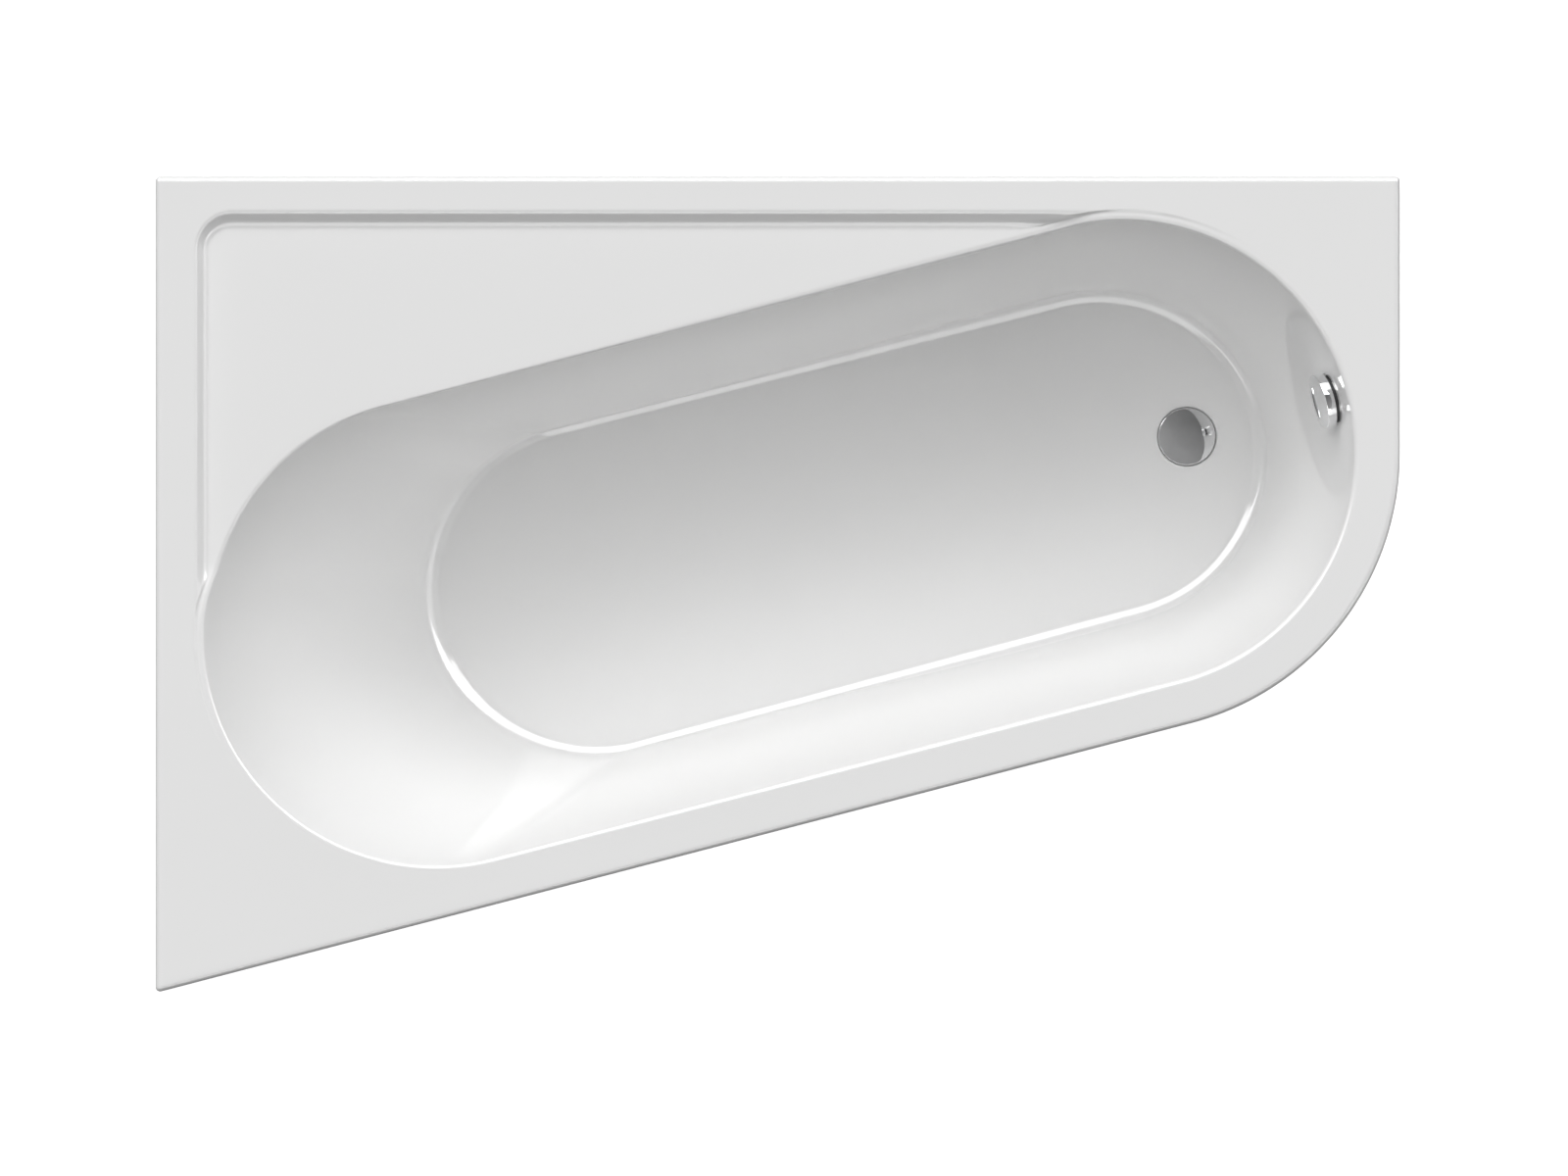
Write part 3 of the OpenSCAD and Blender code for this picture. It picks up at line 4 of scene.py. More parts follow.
import bmesh
import bpy
import numpy as np
from mathutils import Matrix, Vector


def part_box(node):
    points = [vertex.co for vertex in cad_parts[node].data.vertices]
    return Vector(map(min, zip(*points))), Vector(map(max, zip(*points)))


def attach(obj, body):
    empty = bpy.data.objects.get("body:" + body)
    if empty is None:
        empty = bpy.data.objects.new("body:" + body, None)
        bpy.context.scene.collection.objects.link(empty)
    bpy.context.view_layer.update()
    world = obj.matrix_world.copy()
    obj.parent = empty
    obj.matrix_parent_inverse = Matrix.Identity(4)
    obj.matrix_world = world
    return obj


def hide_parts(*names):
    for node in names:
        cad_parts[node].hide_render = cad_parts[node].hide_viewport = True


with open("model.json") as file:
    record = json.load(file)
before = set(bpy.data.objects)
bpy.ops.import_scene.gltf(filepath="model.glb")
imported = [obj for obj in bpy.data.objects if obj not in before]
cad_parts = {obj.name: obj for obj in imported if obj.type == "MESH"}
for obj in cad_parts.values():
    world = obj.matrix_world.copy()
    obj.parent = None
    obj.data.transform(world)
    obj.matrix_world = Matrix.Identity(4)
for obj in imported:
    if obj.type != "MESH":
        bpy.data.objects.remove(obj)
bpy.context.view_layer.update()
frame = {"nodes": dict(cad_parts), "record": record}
nodes = frame["nodes"]
scene = bpy.context.scene
MM = 0.001


def rad(g):
    return math.radians(g)


def unit(g):
    return np.array([math.cos(rad(g)), math.sin(rad(g))])


def mix(a, b, m):
    return a + (b - a) * m


# Sizes of the tub, in millimetres
tub_w, tub_d, rim_z = 1600.0, 1050.0, 580.0
front_rise, back_rim_w, left_rim_w, outer_corner_r = 416.8, 56.0, 59.4, 6.0
rim_round, lip_drop, shell_t = 7.5, 38.0, 6.0
front_rim_w, floor_z = 57.5, 155.0
well_edge_r, shelf_edge_r = 8.4, 2.0
head_run, foot_run = 99.5, 104.5
floor_head_in, floor_foot_in, floor_shift = 215.0, 28.4, 2.5
floor_fall, floor_t = 8.0, 8.0
step_round, step_run, step_tilt, wall_foot, band_gap = 4.0, 5.5, 22.0, 16.0, 2.2
bottom_round = 12.0
shelf_drop, shelf_back_w, shelf_left_w, shelf_corner_r = 13.0, 28.0, 19.0, 38.0
shelf_full_gap, shelf_fade, tangent_share = 18.0, 40.0, 0.25
drain_edge, overflow_drop = 80.8, 73.0
flat_min, flat_step, under_in, leg_share = 2.0, 3.0, 3.0, 1.1

half_w, half_d = tub_w / 2, tub_d / 2
slope = front_rise / tub_w
front_angle = math.degrees(math.atan(slope))
lean_cos = math.cos(rad(front_angle))
front_arc_r = (tub_d - front_rise - back_rim_w + front_rim_w) / (1 + 1 / lean_cos - slope)
well_r = front_arc_r - front_rim_w
well_len = (tub_w - front_arc_r - well_r - left_rim_w) / lean_cos
floor_head_r, floor_foot_r = well_r - head_run, well_r - foot_run
drain_x = floor_foot_r - floor_foot_in - drain_edge
arc_x = half_w - front_arc_r
arc_y = front_arc_r / lean_cos + (arc_x + half_w) * slope - half_d
u2, v2 = unit(front_angle), unit(front_angle + 90)
foot_c = np.array([arc_x, arc_y])
head_c = foot_c - well_len * u2
floor_head_c = head_c + floor_head_in * u2 + floor_shift * v2
floor_foot_c = foot_c - floor_foot_in * u2 + floor_shift * v2
drain_c = foot_c + drain_x * u2
bottom_z = floor_z - floor_t
front_n = unit(front_angle - 90)
front_dist = float(front_n @ np.array([-half_w, -half_d]))
corner_in, corner_up = half_w - outer_corner_r, half_d - outer_corner_r
front_corner_y = (front_dist - outer_corner_r + corner_in * front_n[0]) / front_n[1]
edges = [
    (np.array([0.0, 1.0]), half_d),
    (np.array([-1.0, 0.0]), half_w),
    (np.array([1.0, 0.0]), half_w),
    (front_n, front_dist),
]
corners = [
    (np.array([-corner_in, corner_up]), np.array([-1.0, 0.0]), np.array([0.0, 1.0])),
    (np.array([corner_in, corner_up]), np.array([1.0, 0.0]), np.array([0.0, 1.0])),
    (np.array([-corner_in, front_corner_y]), np.array([-1.0, 0.0]), front_n),
]
shelf_back_y = arc_y + well_r
shelf_left_x = head_c[0] - well_r
step_r = step_round / math.sin(rad(step_tilt))
back_angle = front_angle + 90
FAR, TINY = 16000.0, 0.001

# Rows of the profile: places in millimetres and shares of a stretch
panel_rows = (-30.0, -12.0, -4.0, -1.2)
band_shares = (0.12, 0.5, 0.88)
wall_shares = (0.02, 0.1, 0.25, 0.4, 0.55, 0.7, 0.85, 0.95, 0.985)
flat_shares = (0.03, 0.3, 0.7, 0.97)
side_rows = (1.0, 6.0, 18.0, 27.0)
back_shares = (0.0, 0.25, 0.5, 0.75)
round_n, blend_n, edge_n, shelf_n, rim_n = 6, 14, 12, 22, 10
lip_round, lip_break, inner_reach = 1.0, 0.3, 30.0
foot_end_share, top_start_share = 0.03, 0.46


def cross2(a, b):
    return a[0] * b[1] - a[1] * b[0]


def smooth(x):
    x = max(0.0, min(1.0, x))
    return x * x * (3 - 2 * x)


def line_t(c, d, n, dist):
    """Way from c along d to the line whose normal is n."""
    return (dist - n @ c) / (n @ d) if n @ d > TINY else FAR


def corner_t(c, d, k, r):
    """Way from c along d to the rounded corner k: its centre and the normals of its two edges."""
    if r <= 0 or abs(cross2(k[0] - c, d)) > r:
        return FAR
    t = (k[0] - c) @ d + math.sqrt(max(0.0, r * r - cross2(k[0] - c, d) ** 2))
    p = c + t * d - k[0]
    return t if p @ k[1] > 0 and p @ k[2] > 0 else FAR


def floor_h(p):
    """Height of the floor panel, which falls evenly to the drain."""
    return floor_z + floor_fall * float((drain_c - p) @ u2) / well_len


class Station:
    """One direction round the well: the profile runs outward along it.

    m is the place from the head centre (0) to the foot centre (1) and ang the direction. fe and we
    are the floor's edge and the well's edge, w the way between them, k the wall's run per height,
    q the share of the shelf's full depth, top the height of the well's edge and ex its place.
    """

    def __init__(self, m, ang):
        self.m, self.ang = m, ang
        self.d = unit(ang)
        self.c = mix(head_c, foot_c, m)
        self.fe = mix(floor_head_c, floor_foot_c, m) + mix(floor_head_r, floor_foot_r, m) * self.d
        self.we = self.c + well_r * self.d
        self.w = float(np.linalg.norm(self.we - self.fe))
        self.h = floor_h(self.fe)
        self.square = float((self.we - self.fe) @ self.d) / self.w
        self.foot = max(wall_foot, (step_round + step_run) / self.square + band_gap)
        self.k = (self.w - self.foot) / (rim_z - self.h)
        on = 90 <= ang <= 180
        gap = max(0.0, self.shelf_t(0.0) - well_r)
        past = ang - 180 if ang > 180 else max(0.0, 90 - ang)
        if on:
            self.q = smooth(tangent_share + gap / shelf_full_gap)
        else:
            self.q = smooth(tangent_share * (1 - past / shelf_fade))
        self.on = on
        self.top = rim_z - shelf_drop * self.q
        self.ex = self.w - shelf_drop * self.q * self.k
        a = math.atan(self.k)
        self.leg = (well_edge_r + shelf_edge_r * self.q) * math.tan((math.pi / 2 - a) / 2)
        self.wd = np.array([math.sin(a), math.cos(a)])

    def plan(self, x):
        """The point in plan at the distance x outward from the floor's edge."""
        if x < self.w:
            return mix(self.fe, self.we, x / self.w)
        return self.we + (x - self.w) * self.d

    def shelf_t(self, k):
        """Way from the centre to the shelf's step: k is -1 at its foot and 1 at its top."""
        r = shelf_corner_r + k * (shelf_back_w + shelf_left_w) / 4
        back = shelf_back_y + k * shelf_back_w / 2
        left = shelf_left_x - k * shelf_left_w / 2
        mid = np.array([left + r, back - r])
        to_left, to_back = np.array([-1.0, 0.0]), np.array([0.0, 1.0])
        a = line_t(self.c, self.d, to_back, back)
        b = line_t(self.c, self.d, to_left, -left)
        return min(a, b, corner_t(self.c, self.d, (mid, to_left, to_back), r))

    def outer_x(self, off):
        """Distance of the outline, moved in by off."""
        if self.m >= 1 and self.ang < 0:
            t = front_arc_r - off
        else:
            t = min(
                min(line_t(self.c, self.d, e[0], e[1] - off) for e in edges),
                min(corner_t(self.c, self.d, k, outer_corner_r - off) for k in corners),
            )
        return self.w - well_r + t

    def step_x(self, k):
        """Distance of the shelf's step, kept clear of the well's edge."""
        least = self.ex + self.leg + flat_min + flat_step * (k + 1)
        if not self.on:
            return least
        return max(least, self.w - well_r + self.shelf_t(k))


def rise(k):
    """Height share of the shelf step: a long hollow foot, a straight part and a shorter rounded top."""
    a, b = foot_end_share, top_start_share
    s = 1 / ((a + 1) / 2 + (b - a) + (1 - b) / 2)
    if k < a:
        return s * (k + 1) ** 2 / (2 * (a + 1))
    if k < b:
        return s * ((a + 1) / 2 + (k - a))
    return s * ((a + 1) / 2 + (b - a) + (1 - b) / 2 - (1 - k) ** 2 / (2 * (1 - b)))


def bez(p, q, r, m):
    """Point at the share m of a curve from p to r that is drawn to q."""
    return mix(mix(p, q, m), mix(q, r, m), m)


def floor_rows(s):
    """Floor panel, its step with a hollow round and a sloped band, and the blend into the wall."""
    out = []
    for x in panel_rows:
        out.append((x, floor_h(s.plan(x))))
    wide = 1 / s.square
    for i in range(round_n + 1):
        t = rad(step_tilt) * i / round_n
        out.append((step_r * math.sin(t) * wide, s.h + step_r * (1 - math.cos(t))))
    up = np.array([0.0, s.h])
    lift = step_round * math.tan(rad(step_tilt / 2))
    slant = math.tan(rad(step_tilt)) * s.square
    first = np.array([step_round * wide, lift])
    band = np.array([(step_round + step_run) * wide, 0.0])
    band[1] = lift + (band[0] - first[0]) * slant
    for m in band_shares:
        out.append(tuple(mix(first, band, m) + up))
    mz = (band[1] + (s.foot - band[0]) * slant) / (1 - s.k * slant)
    meet = np.array([s.foot + mz * s.k, mz])
    start = meet + leg_share * float(np.linalg.norm(meet - band)) * s.wd
    for i in range(blend_n + 1):
        out.append(tuple(bez(band, meet, start, i / blend_n) + up))
    return out, start + up


def wall_rows(s, start):
    """Straight wall from its start up, and the rolled edge of the well."""
    out = []
    top = np.array([s.ex, s.top])
    end = top - s.leg * s.wd
    for m in wall_shares:
        out.append(tuple(mix(start, end, m)))
    far = np.array([s.ex + s.leg, s.top])
    for i in range(edge_n + 1):
        out.append(tuple(bez(end, top, far, i / edge_n)))
    return out


def rim_rows(s):
    """Shelf and its step, the rim, the rounded outer edge, the side and the lip."""
    out = []
    foot = s.step_x(-1)
    for m in flat_shares:
        out.append((mix(s.ex + s.leg, foot, m), s.top))
    for i in range(shelf_n + 1):
        k = -1 + 2 * i / shelf_n
        out.append((s.step_x(k), mix(s.top, rim_z, rise(k))))
    a, b = s.step_x(1), s.outer_x(rim_round)
    for m in flat_shares:
        out.append((mix(a, b, m), rim_z))
    for i in range(rim_n + 1):
        g = rad(90 * i / rim_n)
        out.append((s.outer_x(rim_round * (1 - math.sin(g))), rim_z - rim_round * (1 - math.cos(g))))
    for z in side_rows:
        out.append((s.outer_x(0), rim_z - rim_round - z))
    lip = rim_z - lip_drop
    out.append((s.outer_x(0), lip + lip_round))
    out.append((s.outer_x(lip_break), lip + lip_break))
    out.append((s.outer_x(lip_round), lip))
    out.append((s.outer_x(shell_t - lip_round), lip))
    out.append((s.outer_x(shell_t - lip_break), lip + lip_break))
    out.append((s.outer_x(shell_t), lip + lip_round))
    return out


def back_rows(s):
    """Back of the side, the rim, the shelf and the wall, and the rounded way to the underside."""
    out = [
        (s.outer_x(shell_t), rim_z - rim_round),
        (s.outer_x(rim_round), rim_z - shell_t),
        (s.step_x(1) + under_in, rim_z - shell_t),
        (s.step_x(-1) + under_in / 3, s.top - shell_t),
        (s.ex + s.leg + under_in / 3, s.top - shell_t),
    ]
    t = shell_t / math.cos(math.atan(s.k))

    def wall_x(z):
        return s.foot + t + (z - s.h) * s.k

    high, low = s.top - shell_t - s.leg, bottom_z + bottom_round
    for m in back_shares:
        z = mix(high, low, m)
        out.append((wall_x(z), z))
    inner = wall_x(bottom_z) - bottom_round
    for i in range(round_n + 1):
        g = mix(0.0, math.pi / 2, i / round_n)
        out.append((mix(wall_x(low), inner, 1 - math.cos(g)), low - bottom_round * math.sin(g)))
    out.append((inner - inner_reach, bottom_z))
    return out


def rows(s):
    """Profile points (distance outward, height) from the floor to the back, and the first back row."""
    out, start = floor_rows(s)
    out += wall_rows(s, start) + rim_rows(s)
    return out + back_rows(s), len(out)


def sight(c, p):
    """Direction from c to p in degrees, from -90 up."""
    g = math.degrees(math.atan2(p[1] - c[1], p[0] - c[0]))
    return g + 360 if g < -90 else g


def fan(a, b, step):
    """Directions from a up to, but not with, b."""
    n = max(1, int(math.ceil((b - a) / step)))
    return [mix(a, b, i / n) for i in range(n)]


left_a = sight(head_c, (-corner_in, half_d))
left_b = sight(head_c, (-half_w, corner_up))
front_a = sight(head_c, (-half_w, front_corner_y))
front_b = sight(head_c, np.array([-corner_in, front_corner_y]) + outer_corner_r * front_n)
right_a = sight(foot_c, (half_w, corner_up))
right_b = sight(foot_c, (corner_in, half_d))
shelf_mid = (shelf_left_x + shelf_corner_r, shelf_back_y - shelf_corner_r)
shelf_in = sight(head_c, (shelf_mid[0], shelf_back_y))
shelf_out = sight(head_c, (shelf_left_x, shelf_mid[1]))
# Steps of the fan in degrees: finer where the outline or the shelf turns a corner
near, fine, finest, coarse, margin = 1.0, 0.25, 0.12, 1.2, 3
cuts = [
    (back_angle, coarse),
    (shelf_in - margin, fine),
    (left_a, finest),
    (left_b, fine),
    (shelf_out + margin, near),
    (180.0, near),
    (front_a, finest),
    (front_b, coarse),
    (front_angle + 270, None),
]
head_turns = []
for (a, step), (b, _) in zip(cuts[:-1], cuts[1:]):
    head_turns += fan(a, b, step)
head_turns.append(front_angle + 270)
foot_turns = fan(front_angle - 90, 0, coarse) + fan(0, right_a, coarse)
foot_turns += fan(right_a, right_b, finest) + fan(right_b, back_angle, coarse) + [back_angle]
side_n = 34
stations = [Station(0.0, g) for g in head_turns]
stations += [Station(i / side_n, front_angle + 270) for i in range(1, side_n)]
stations += [Station(1.0, g) for g in foot_turns]
stations += [Station(1 - i / side_n, back_angle) for i in range(1, side_n)]


def wall_matrix():
    """Frame of the overflow: +Z is the foot wall's normal into the well."""
    s = Station(1.0, front_angle)
    lean = math.degrees(math.atan(s.k))
    x = well_r - overflow_drop * s.k
    m = Matrix.Translation((arc_x * MM, arc_y * MM, 0)) @ Matrix.Rotation(rad(front_angle), 4, "Z")
    m = m @ Matrix.Translation((x * MM, 0, (rim_z - overflow_drop) * MM))
    return m @ Matrix.Rotation(rad(lean - 90), 4, "Y")


def drain_matrix():
    """Frame of the drain: upright, turned with the tub's long axis."""
    turn = Matrix.Rotation(rad(front_angle), 4, "Z")
    return Matrix.Translation((drain_c[0] * MM, drain_c[1] * MM, 0)) @ turn


def circle(r, z, n):
    """Points of a circle, r and z in millimetres."""
    turns = [math.tau * i / n for i in range(n)]
    return [(r * MM * math.cos(g), r * MM * math.sin(g), z * MM) for g in turns]


def new_object(name, verts, faces, mats, matrix=None):
    """A mesh object in the scene, its points moved by the matrix where there is one."""
    mesh = bpy.data.meshes.new(name)
    mesh.from_pydata([tuple(v) for v in verts], [], faces)
    mesh.update()
    if matrix is not None:
        mesh.transform(matrix)
    for m in mats:
        mesh.materials.append(m)
    obj = bpy.data.objects.new(name, mesh)
    scene.collection.objects.link(obj)
    return obj


def fix_normals(obj):
    """Turns all faces outward."""
    bm = bmesh.new()
    bm.from_mesh(obj.data)
    bmesh.ops.recalc_face_normals(bm, faces=bm.faces[:])
    bm.to_mesh(obj.data)
    bm.free()


def smooth_all(obj, angle):
    """Smooth shading with sharp edges above the angle."""
    for p in obj.data.polygons:
        p.use_smooth = True
    obj.data.set_sharp_from_angle(angle=rad(angle))


def lathe(name, profile, mats, matrix, count, angle):
    """A turned form: profile is [(radius, height)] in millimetres, open at the axis where the radius is 0."""
    verts, faces, ring = [], [], []
    for r, z in profile:
        if r < TINY:
            ring.append([len(verts)] * count)
            verts.append((0, 0, z * MM))
        else:
            ring.append([len(verts) + i for i in range(count)])
            verts += circle(r, z, count)
    for a, b in zip(ring[:-1], ring[1:]):
        for i in range(count):
            j = (i + 1) % count
            f = []
            for k in (a[i], a[j], b[j], b[i]):
                if k not in f:
                    f.append(k)
            if len(f) > 2:
                faces.append(f)
    obj = new_object(name, verts, faces, mats, matrix)
    fix_normals(obj)
    smooth_all(obj, angle)
    return obj


def arc(cx, cz, r, g0, g1, n):
    """Profile points of a round from the angle g0 to g1."""
    turns = [rad(mix(g0, g1, i / n)) for i in range(n + 1)]
    return [(cx + r * math.cos(g), cz + r * math.sin(g)) for g in turns]


# Materials
def material(name):
    """A new material with its node tree and its shader."""
    m = bpy.data.materials.new(name)
    m.use_nodes = True
    t = m.node_tree
    b = t.nodes["Principled BSDF"]
    return m, t, b


def node(t, kind, **inputs):
    """A shader node with the given inputs set; an underscore in a name stands for a space."""
    n = t.nodes.new(kind)
    for k, v in inputs.items():
        key = k.replace("_", " ")
        n.inputs[key if key in n.inputs else k].default_value = v
    return n


def noise(t, scale, detail, rough=0.5, stretch=None):
    """Noise in the object's own coordinates, stretched where asked."""
    c = t.nodes.new("ShaderNodeTexCoord")
    n = node(t, "ShaderNodeTexNoise", Scale=scale, Detail=detail, Roughness=rough)
    if stretch:
        mp = node(t, "ShaderNodeMapping", Scale=stretch)
        t.links.new(c.outputs["Object"], mp.inputs["Vector"])
        t.links.new(mp.outputs["Vector"], n.inputs["Vector"])
    else:
        t.links.new(c.outputs["Object"], n.inputs["Vector"])
    return n.outputs["Fac"]


def cells(t, scale):
    """Random red, green and blue for each cell of a cell pattern."""
    c = t.nodes.new("ShaderNodeTexCoord")
    pattern = node(t, "ShaderNodeTexVoronoi", Scale=scale)
    t.links.new(c.outputs["Object"], pattern.inputs["Vector"])
    split = t.nodes.new("ShaderNodeSeparateColor")
    t.links.new(pattern.outputs["Color"], split.inputs["Color"])
    return split.outputs


def coat(t, b, source, tones, gloss, rough):
    """Base colour from tones at places of the source's value, roughness from low to high with gloss."""
    r = t.nodes.new("ShaderNodeValToRGB")
    e = r.color_ramp.elements
    while len(e) < len(tones):
        e.new(0.5)
    for i, (p, c) in enumerate(tones):
        e[i].position = p
        e[i].color = (*c, 1)
    t.links.new(source, r.inputs["Fac"])
    t.links.new(r.outputs["Color"], b.inputs["Base Color"])
    spread = node(t, "ShaderNodeMapRange", To_Min=rough[0], To_Max=rough[1])
    t.links.new(gloss, spread.inputs["Value"])
    t.links.new(spread.outputs["Result"], b.inputs["Roughness"])


def bump(t, b, source, strength, distance):
    """Fine relief from the source; the distance is in metres."""
    n = node(t, "ShaderNodeBump", Strength=strength, Distance=distance)
    t.links.new(source, n.inputs["Height"])
    t.links.new(n.outputs["Normal"], b.inputs["Normal"])


def acrylic():
    """Polished white sheet with a faint haze and a fine orange peel."""
    m, t, b = material("white_acrylic")
    cloud = noise(t, scale=2.2, detail=3.0)
    haze = noise(t, scale=14.0, detail=5.0)
    peel = noise(t, scale=260.0, detail=2.0)
    tones = [(0.3, (0.838, 0.838, 0.836)), (0.7, (0.846, 0.846, 0.845))]
    coat(t, b, cloud, tones, haze, rough=(0.035, 0.065))
    bump(t, b, peel, strength=0.04, distance=0.0001)
    b.inputs["IOR"].default_value = 1.49
    return m


def glass_mat():
    """Back of the shell: resin with chopped glass strands."""
    m, t, b = material("glass_fibre_back")
    strands = noise(t, scale=90.0, detail=6.0, rough=0.62, stretch=(1.0, 2.6, 1.6))
    cross = noise(t, scale=70.0, detail=6.0, rough=0.6, stretch=(2.8, 0.9, 1.7))
    both = node(t, "ShaderNodeMath")
    both.operation = "MAXIMUM"
    t.links.new(strands, both.inputs[0])
    t.links.new(cross, both.inputs[1])
    mixed = both.outputs["Value"]
    tones = [(0.42, (0.60, 0.59, 0.53)), (0.55, (0.70, 0.69, 0.64)), (0.68, (0.80, 0.80, 0.77))]
    coat(t, b, mixed, tones, mixed, rough=(0.3, 0.65))
    bump(t, b, mixed, strength=0.55, distance=0.0009)
    return m


def chrome():
    """Polished chrome with light wear."""
    m, t, b = material("polished_chrome")
    b.inputs["Metallic"].default_value = 1.0
    wear = noise(t, scale=60.0, detail=4.0)
    tones = [(0.3, (0.775, 0.78, 0.785)), (0.7, (0.815, 0.82, 0.825))]
    coat(t, b, wear, tones, wear, rough=(0.015, 0.045))
    return m


def metal(name, low, high, rough, scale, stretch):
    """Turned or drawn metal, its grain stretched along the piece."""
    m, t, b = material(name)
    b.inputs["Metallic"].default_value = 1.0
    grain = noise(t, scale, detail=6.0, rough=0.6, stretch=stretch)
    coat(t, b, grain, [(0.35, low), (0.65, high)], grain, rough)
    bump(t, b, grain, strength=0.08, distance=0.0003)
    return m


def galvanised():
    """Zinc plated sheet with its flower-like crystals."""
    m, t, b = material("zinc_sheet")
    b.inputs["Metallic"].default_value = 1.0
    crystals = cells(t, scale=130.0)
    fine = noise(t, scale=300.0, detail=3.0)
    tones = [(0.0, (0.50, 0.52, 0.54)), (0.5, (0.58, 0.60, 0.62)), (1.0, (0.68, 0.70, 0.71))]
    coat(t, b, crystals["Red"], tones, crystals["Green"], rough=(0.28, 0.5))
    bump(t, b, fine, strength=0.1, distance=0.0002)
    return m


def plastic(name, low, high, rough=(0.35, 0.5), scale=220.0, strength=0.25):
    """Moulded plastic or rubber with a fine grain and a broad change of tone."""
    m, t, b = material(name)
    grain = noise(t, scale, detail=3.0)
    broad = noise(t, scale=6.0, detail=3.0)
    coat(t, b, broad, [(0.3, low), (0.7, high)], grain, rough)
    bump(t, b, grain, strength, distance=0.0002)
    return m


def particle_board():
    """Pressed chips, each with a tone of its own."""
    m, t, b = material("sealed_board")
    chips = cells(t, scale=240.0)
    tones = [(0.0, (0.33, 0.22, 0.12)), (0.4, (0.50, 0.36, 0.21))]
    tones += [(0.75, (0.62, 0.48, 0.30)), (1.0, (0.74, 0.61, 0.42))]
    coat(t, b, chips["Red"], tones, chips["Green"], rough=(0.45, 0.75))
    bump(t, b, chips["Blue"], strength=0.3, distance=0.0006)
    return m


def softwood(name, stretch):
    """Planed softwood, its grain stretched along the batten."""
    m, t, b = material(name)
    grain = noise(t, scale=26.0, detail=7.0, rough=0.62, stretch=stretch)
    tones = [(0.3, (0.42, 0.27, 0.13)), (0.48, (0.66, 0.48, 0.28))]
    tones += [(0.62, (0.76, 0.60, 0.38)), (0.8, (0.60, 0.42, 0.22))]
    coat(t, b, grain, tones, grain, rough=(0.5, 0.8))
    bump(t, b, grain, strength=0.3, distance=0.0006)
    return m


white = acrylic()
fibre = glass_mat()
bright = chrome()
zinc = galvanised()
steel = metal("stainless_steel", (0.50, 0.50, 0.50), (0.60, 0.60, 0.60), (0.14, 0.26), 80.0, (1.0, 1.0, 6.0))
brass = metal("turned_brass", (0.55, 0.40, 0.16), (0.68, 0.52, 0.24), (0.2, 0.36), 90.0, (1.0, 1.0, 8.0))
moulded = plastic("moulded_white", (0.78, 0.78, 0.76), (0.83, 0.83, 0.81))
hose_mat = plastic("hose_plastic", (0.62, 0.63, 0.63), (0.69, 0.70, 0.70), (0.3, 0.45), 160.0)
# Black plastic of the foot pads; the same black is also painted shade on the knob's hub, standing for the
# dark gap between the knob and the wall
black_and_painted_shade = plastic("moulded_black_and_painted_shade", (0.018, 0.018, 0.02), (0.03, 0.03, 0.032), (0.4, 0.6))
rubber = plastic("seal_rubber", (0.012, 0.012, 0.012), (0.022, 0.022, 0.022), (0.6, 0.8), 300.0, 0.4)
board = particle_board()
wood_x = softwood("softwood_long", (0.12, 3.0, 3.0))
wood_y = softwood("softwood_cross", (3.0, 0.12, 3.0))

# Materials of the solids by their slot; the battens' grain follows their length
finish = {
    "acrylic": white, "board": board, "galvanised": zinc, "steel": steel, "chrome": bright, "brass": brass,
    "white_plastic": moulded, "hose_plastic": hose_mat, "black_plastic": black_and_painted_shade, "rubber": rubber,
}
for part in frame["record"]["subparts"]:
    obj = nodes[part["node"]]
    mat = finish[part["material_slot"]]
    if part["node"] in ("batten_back", "batten_front"):
        mat = wood_x
    if part["node"] in ("batten_left", "batten_right"):
        mat = wood_y
    obj.data.materials.clear()
    obj.data.materials.append(mat)

# The tub
profiles = [rows(s) for s in stations]
under_row = profiles[0][1]
row_n = len(profiles[0][0])
count = len(stations)
verts = []
for s, (prof, _) in zip(stations, profiles):
    for x, z in prof:
        p = s.plan(x)
        verts.append((p[0] * MM, p[1] * MM, z * MM))
faces = []
for i in range(count):
    j = (i + 1) % count
    for k in range(row_n - 1):
        faces.append((i * row_n + k, j * row_n + k, j * row_n + k + 1, i * row_n + k + 1))
faces.append(tuple(i * row_n for i in range(count)))
faces.append(tuple(i * row_n + row_n - 1 for i in reversed(range(count))))
tub = new_object("tub", verts, faces, [white, fibre])
fix_normals(tub)
for i, p in enumerate(tub.data.polygons):
    last = i == len(faces) - 1
    if last or (i < len(faces) - 2 and i % (row_n - 1) >= under_row):
        p.material_index = 1

# Sizes of the pad and the seats round the overflow and the drain
outer_pad_t, outer_pad_r, seat_r, hole_r = 8.5, 37.0, 34.0, 26.0
drain_seat_t, drain_seat_r, over, cut_n = 4.5, 38.5, 5.0, 160


def cutter(name, radius, z0, z1, matrix, mat):
    """A plain cylinder that is added to the tub or taken from it."""
    v = circle(radius, z0, cut_n) + circle(radius, z1, cut_n)
    f = [(i, (i + 1) % cut_n, cut_n + (i + 1) % cut_n, cut_n + i) for i in range(cut_n)]
    f += [tuple(reversed(range(cut_n))), tuple(range(cut_n, 2 * cut_n))]
    o = new_object(name, v, f, [mat], matrix)
    fix_normals(o)
    return o


def carve(target, tool, operation):
    """Adds or takes away the tool, keeps the result as the target's mesh and removes the tool."""
    m = target.modifiers.new("cut", "BOOLEAN")
    m.operation = operation
    m.solver = "EXACT"
    m.object = tool
    m.material_mode = "TRANSFER"
    bpy.context.view_layer.update()
    done = bpy.data.meshes.new_from_object(target.evaluated_get(bpy.context.evaluated_depsgraph_get()))
    target.modifiers.remove(m)
    old = target.data
    target.data = done
    bpy.data.meshes.remove(old)
    mesh = tool.data
    bpy.data.objects.remove(tool)
    bpy.data.meshes.remove(mesh)


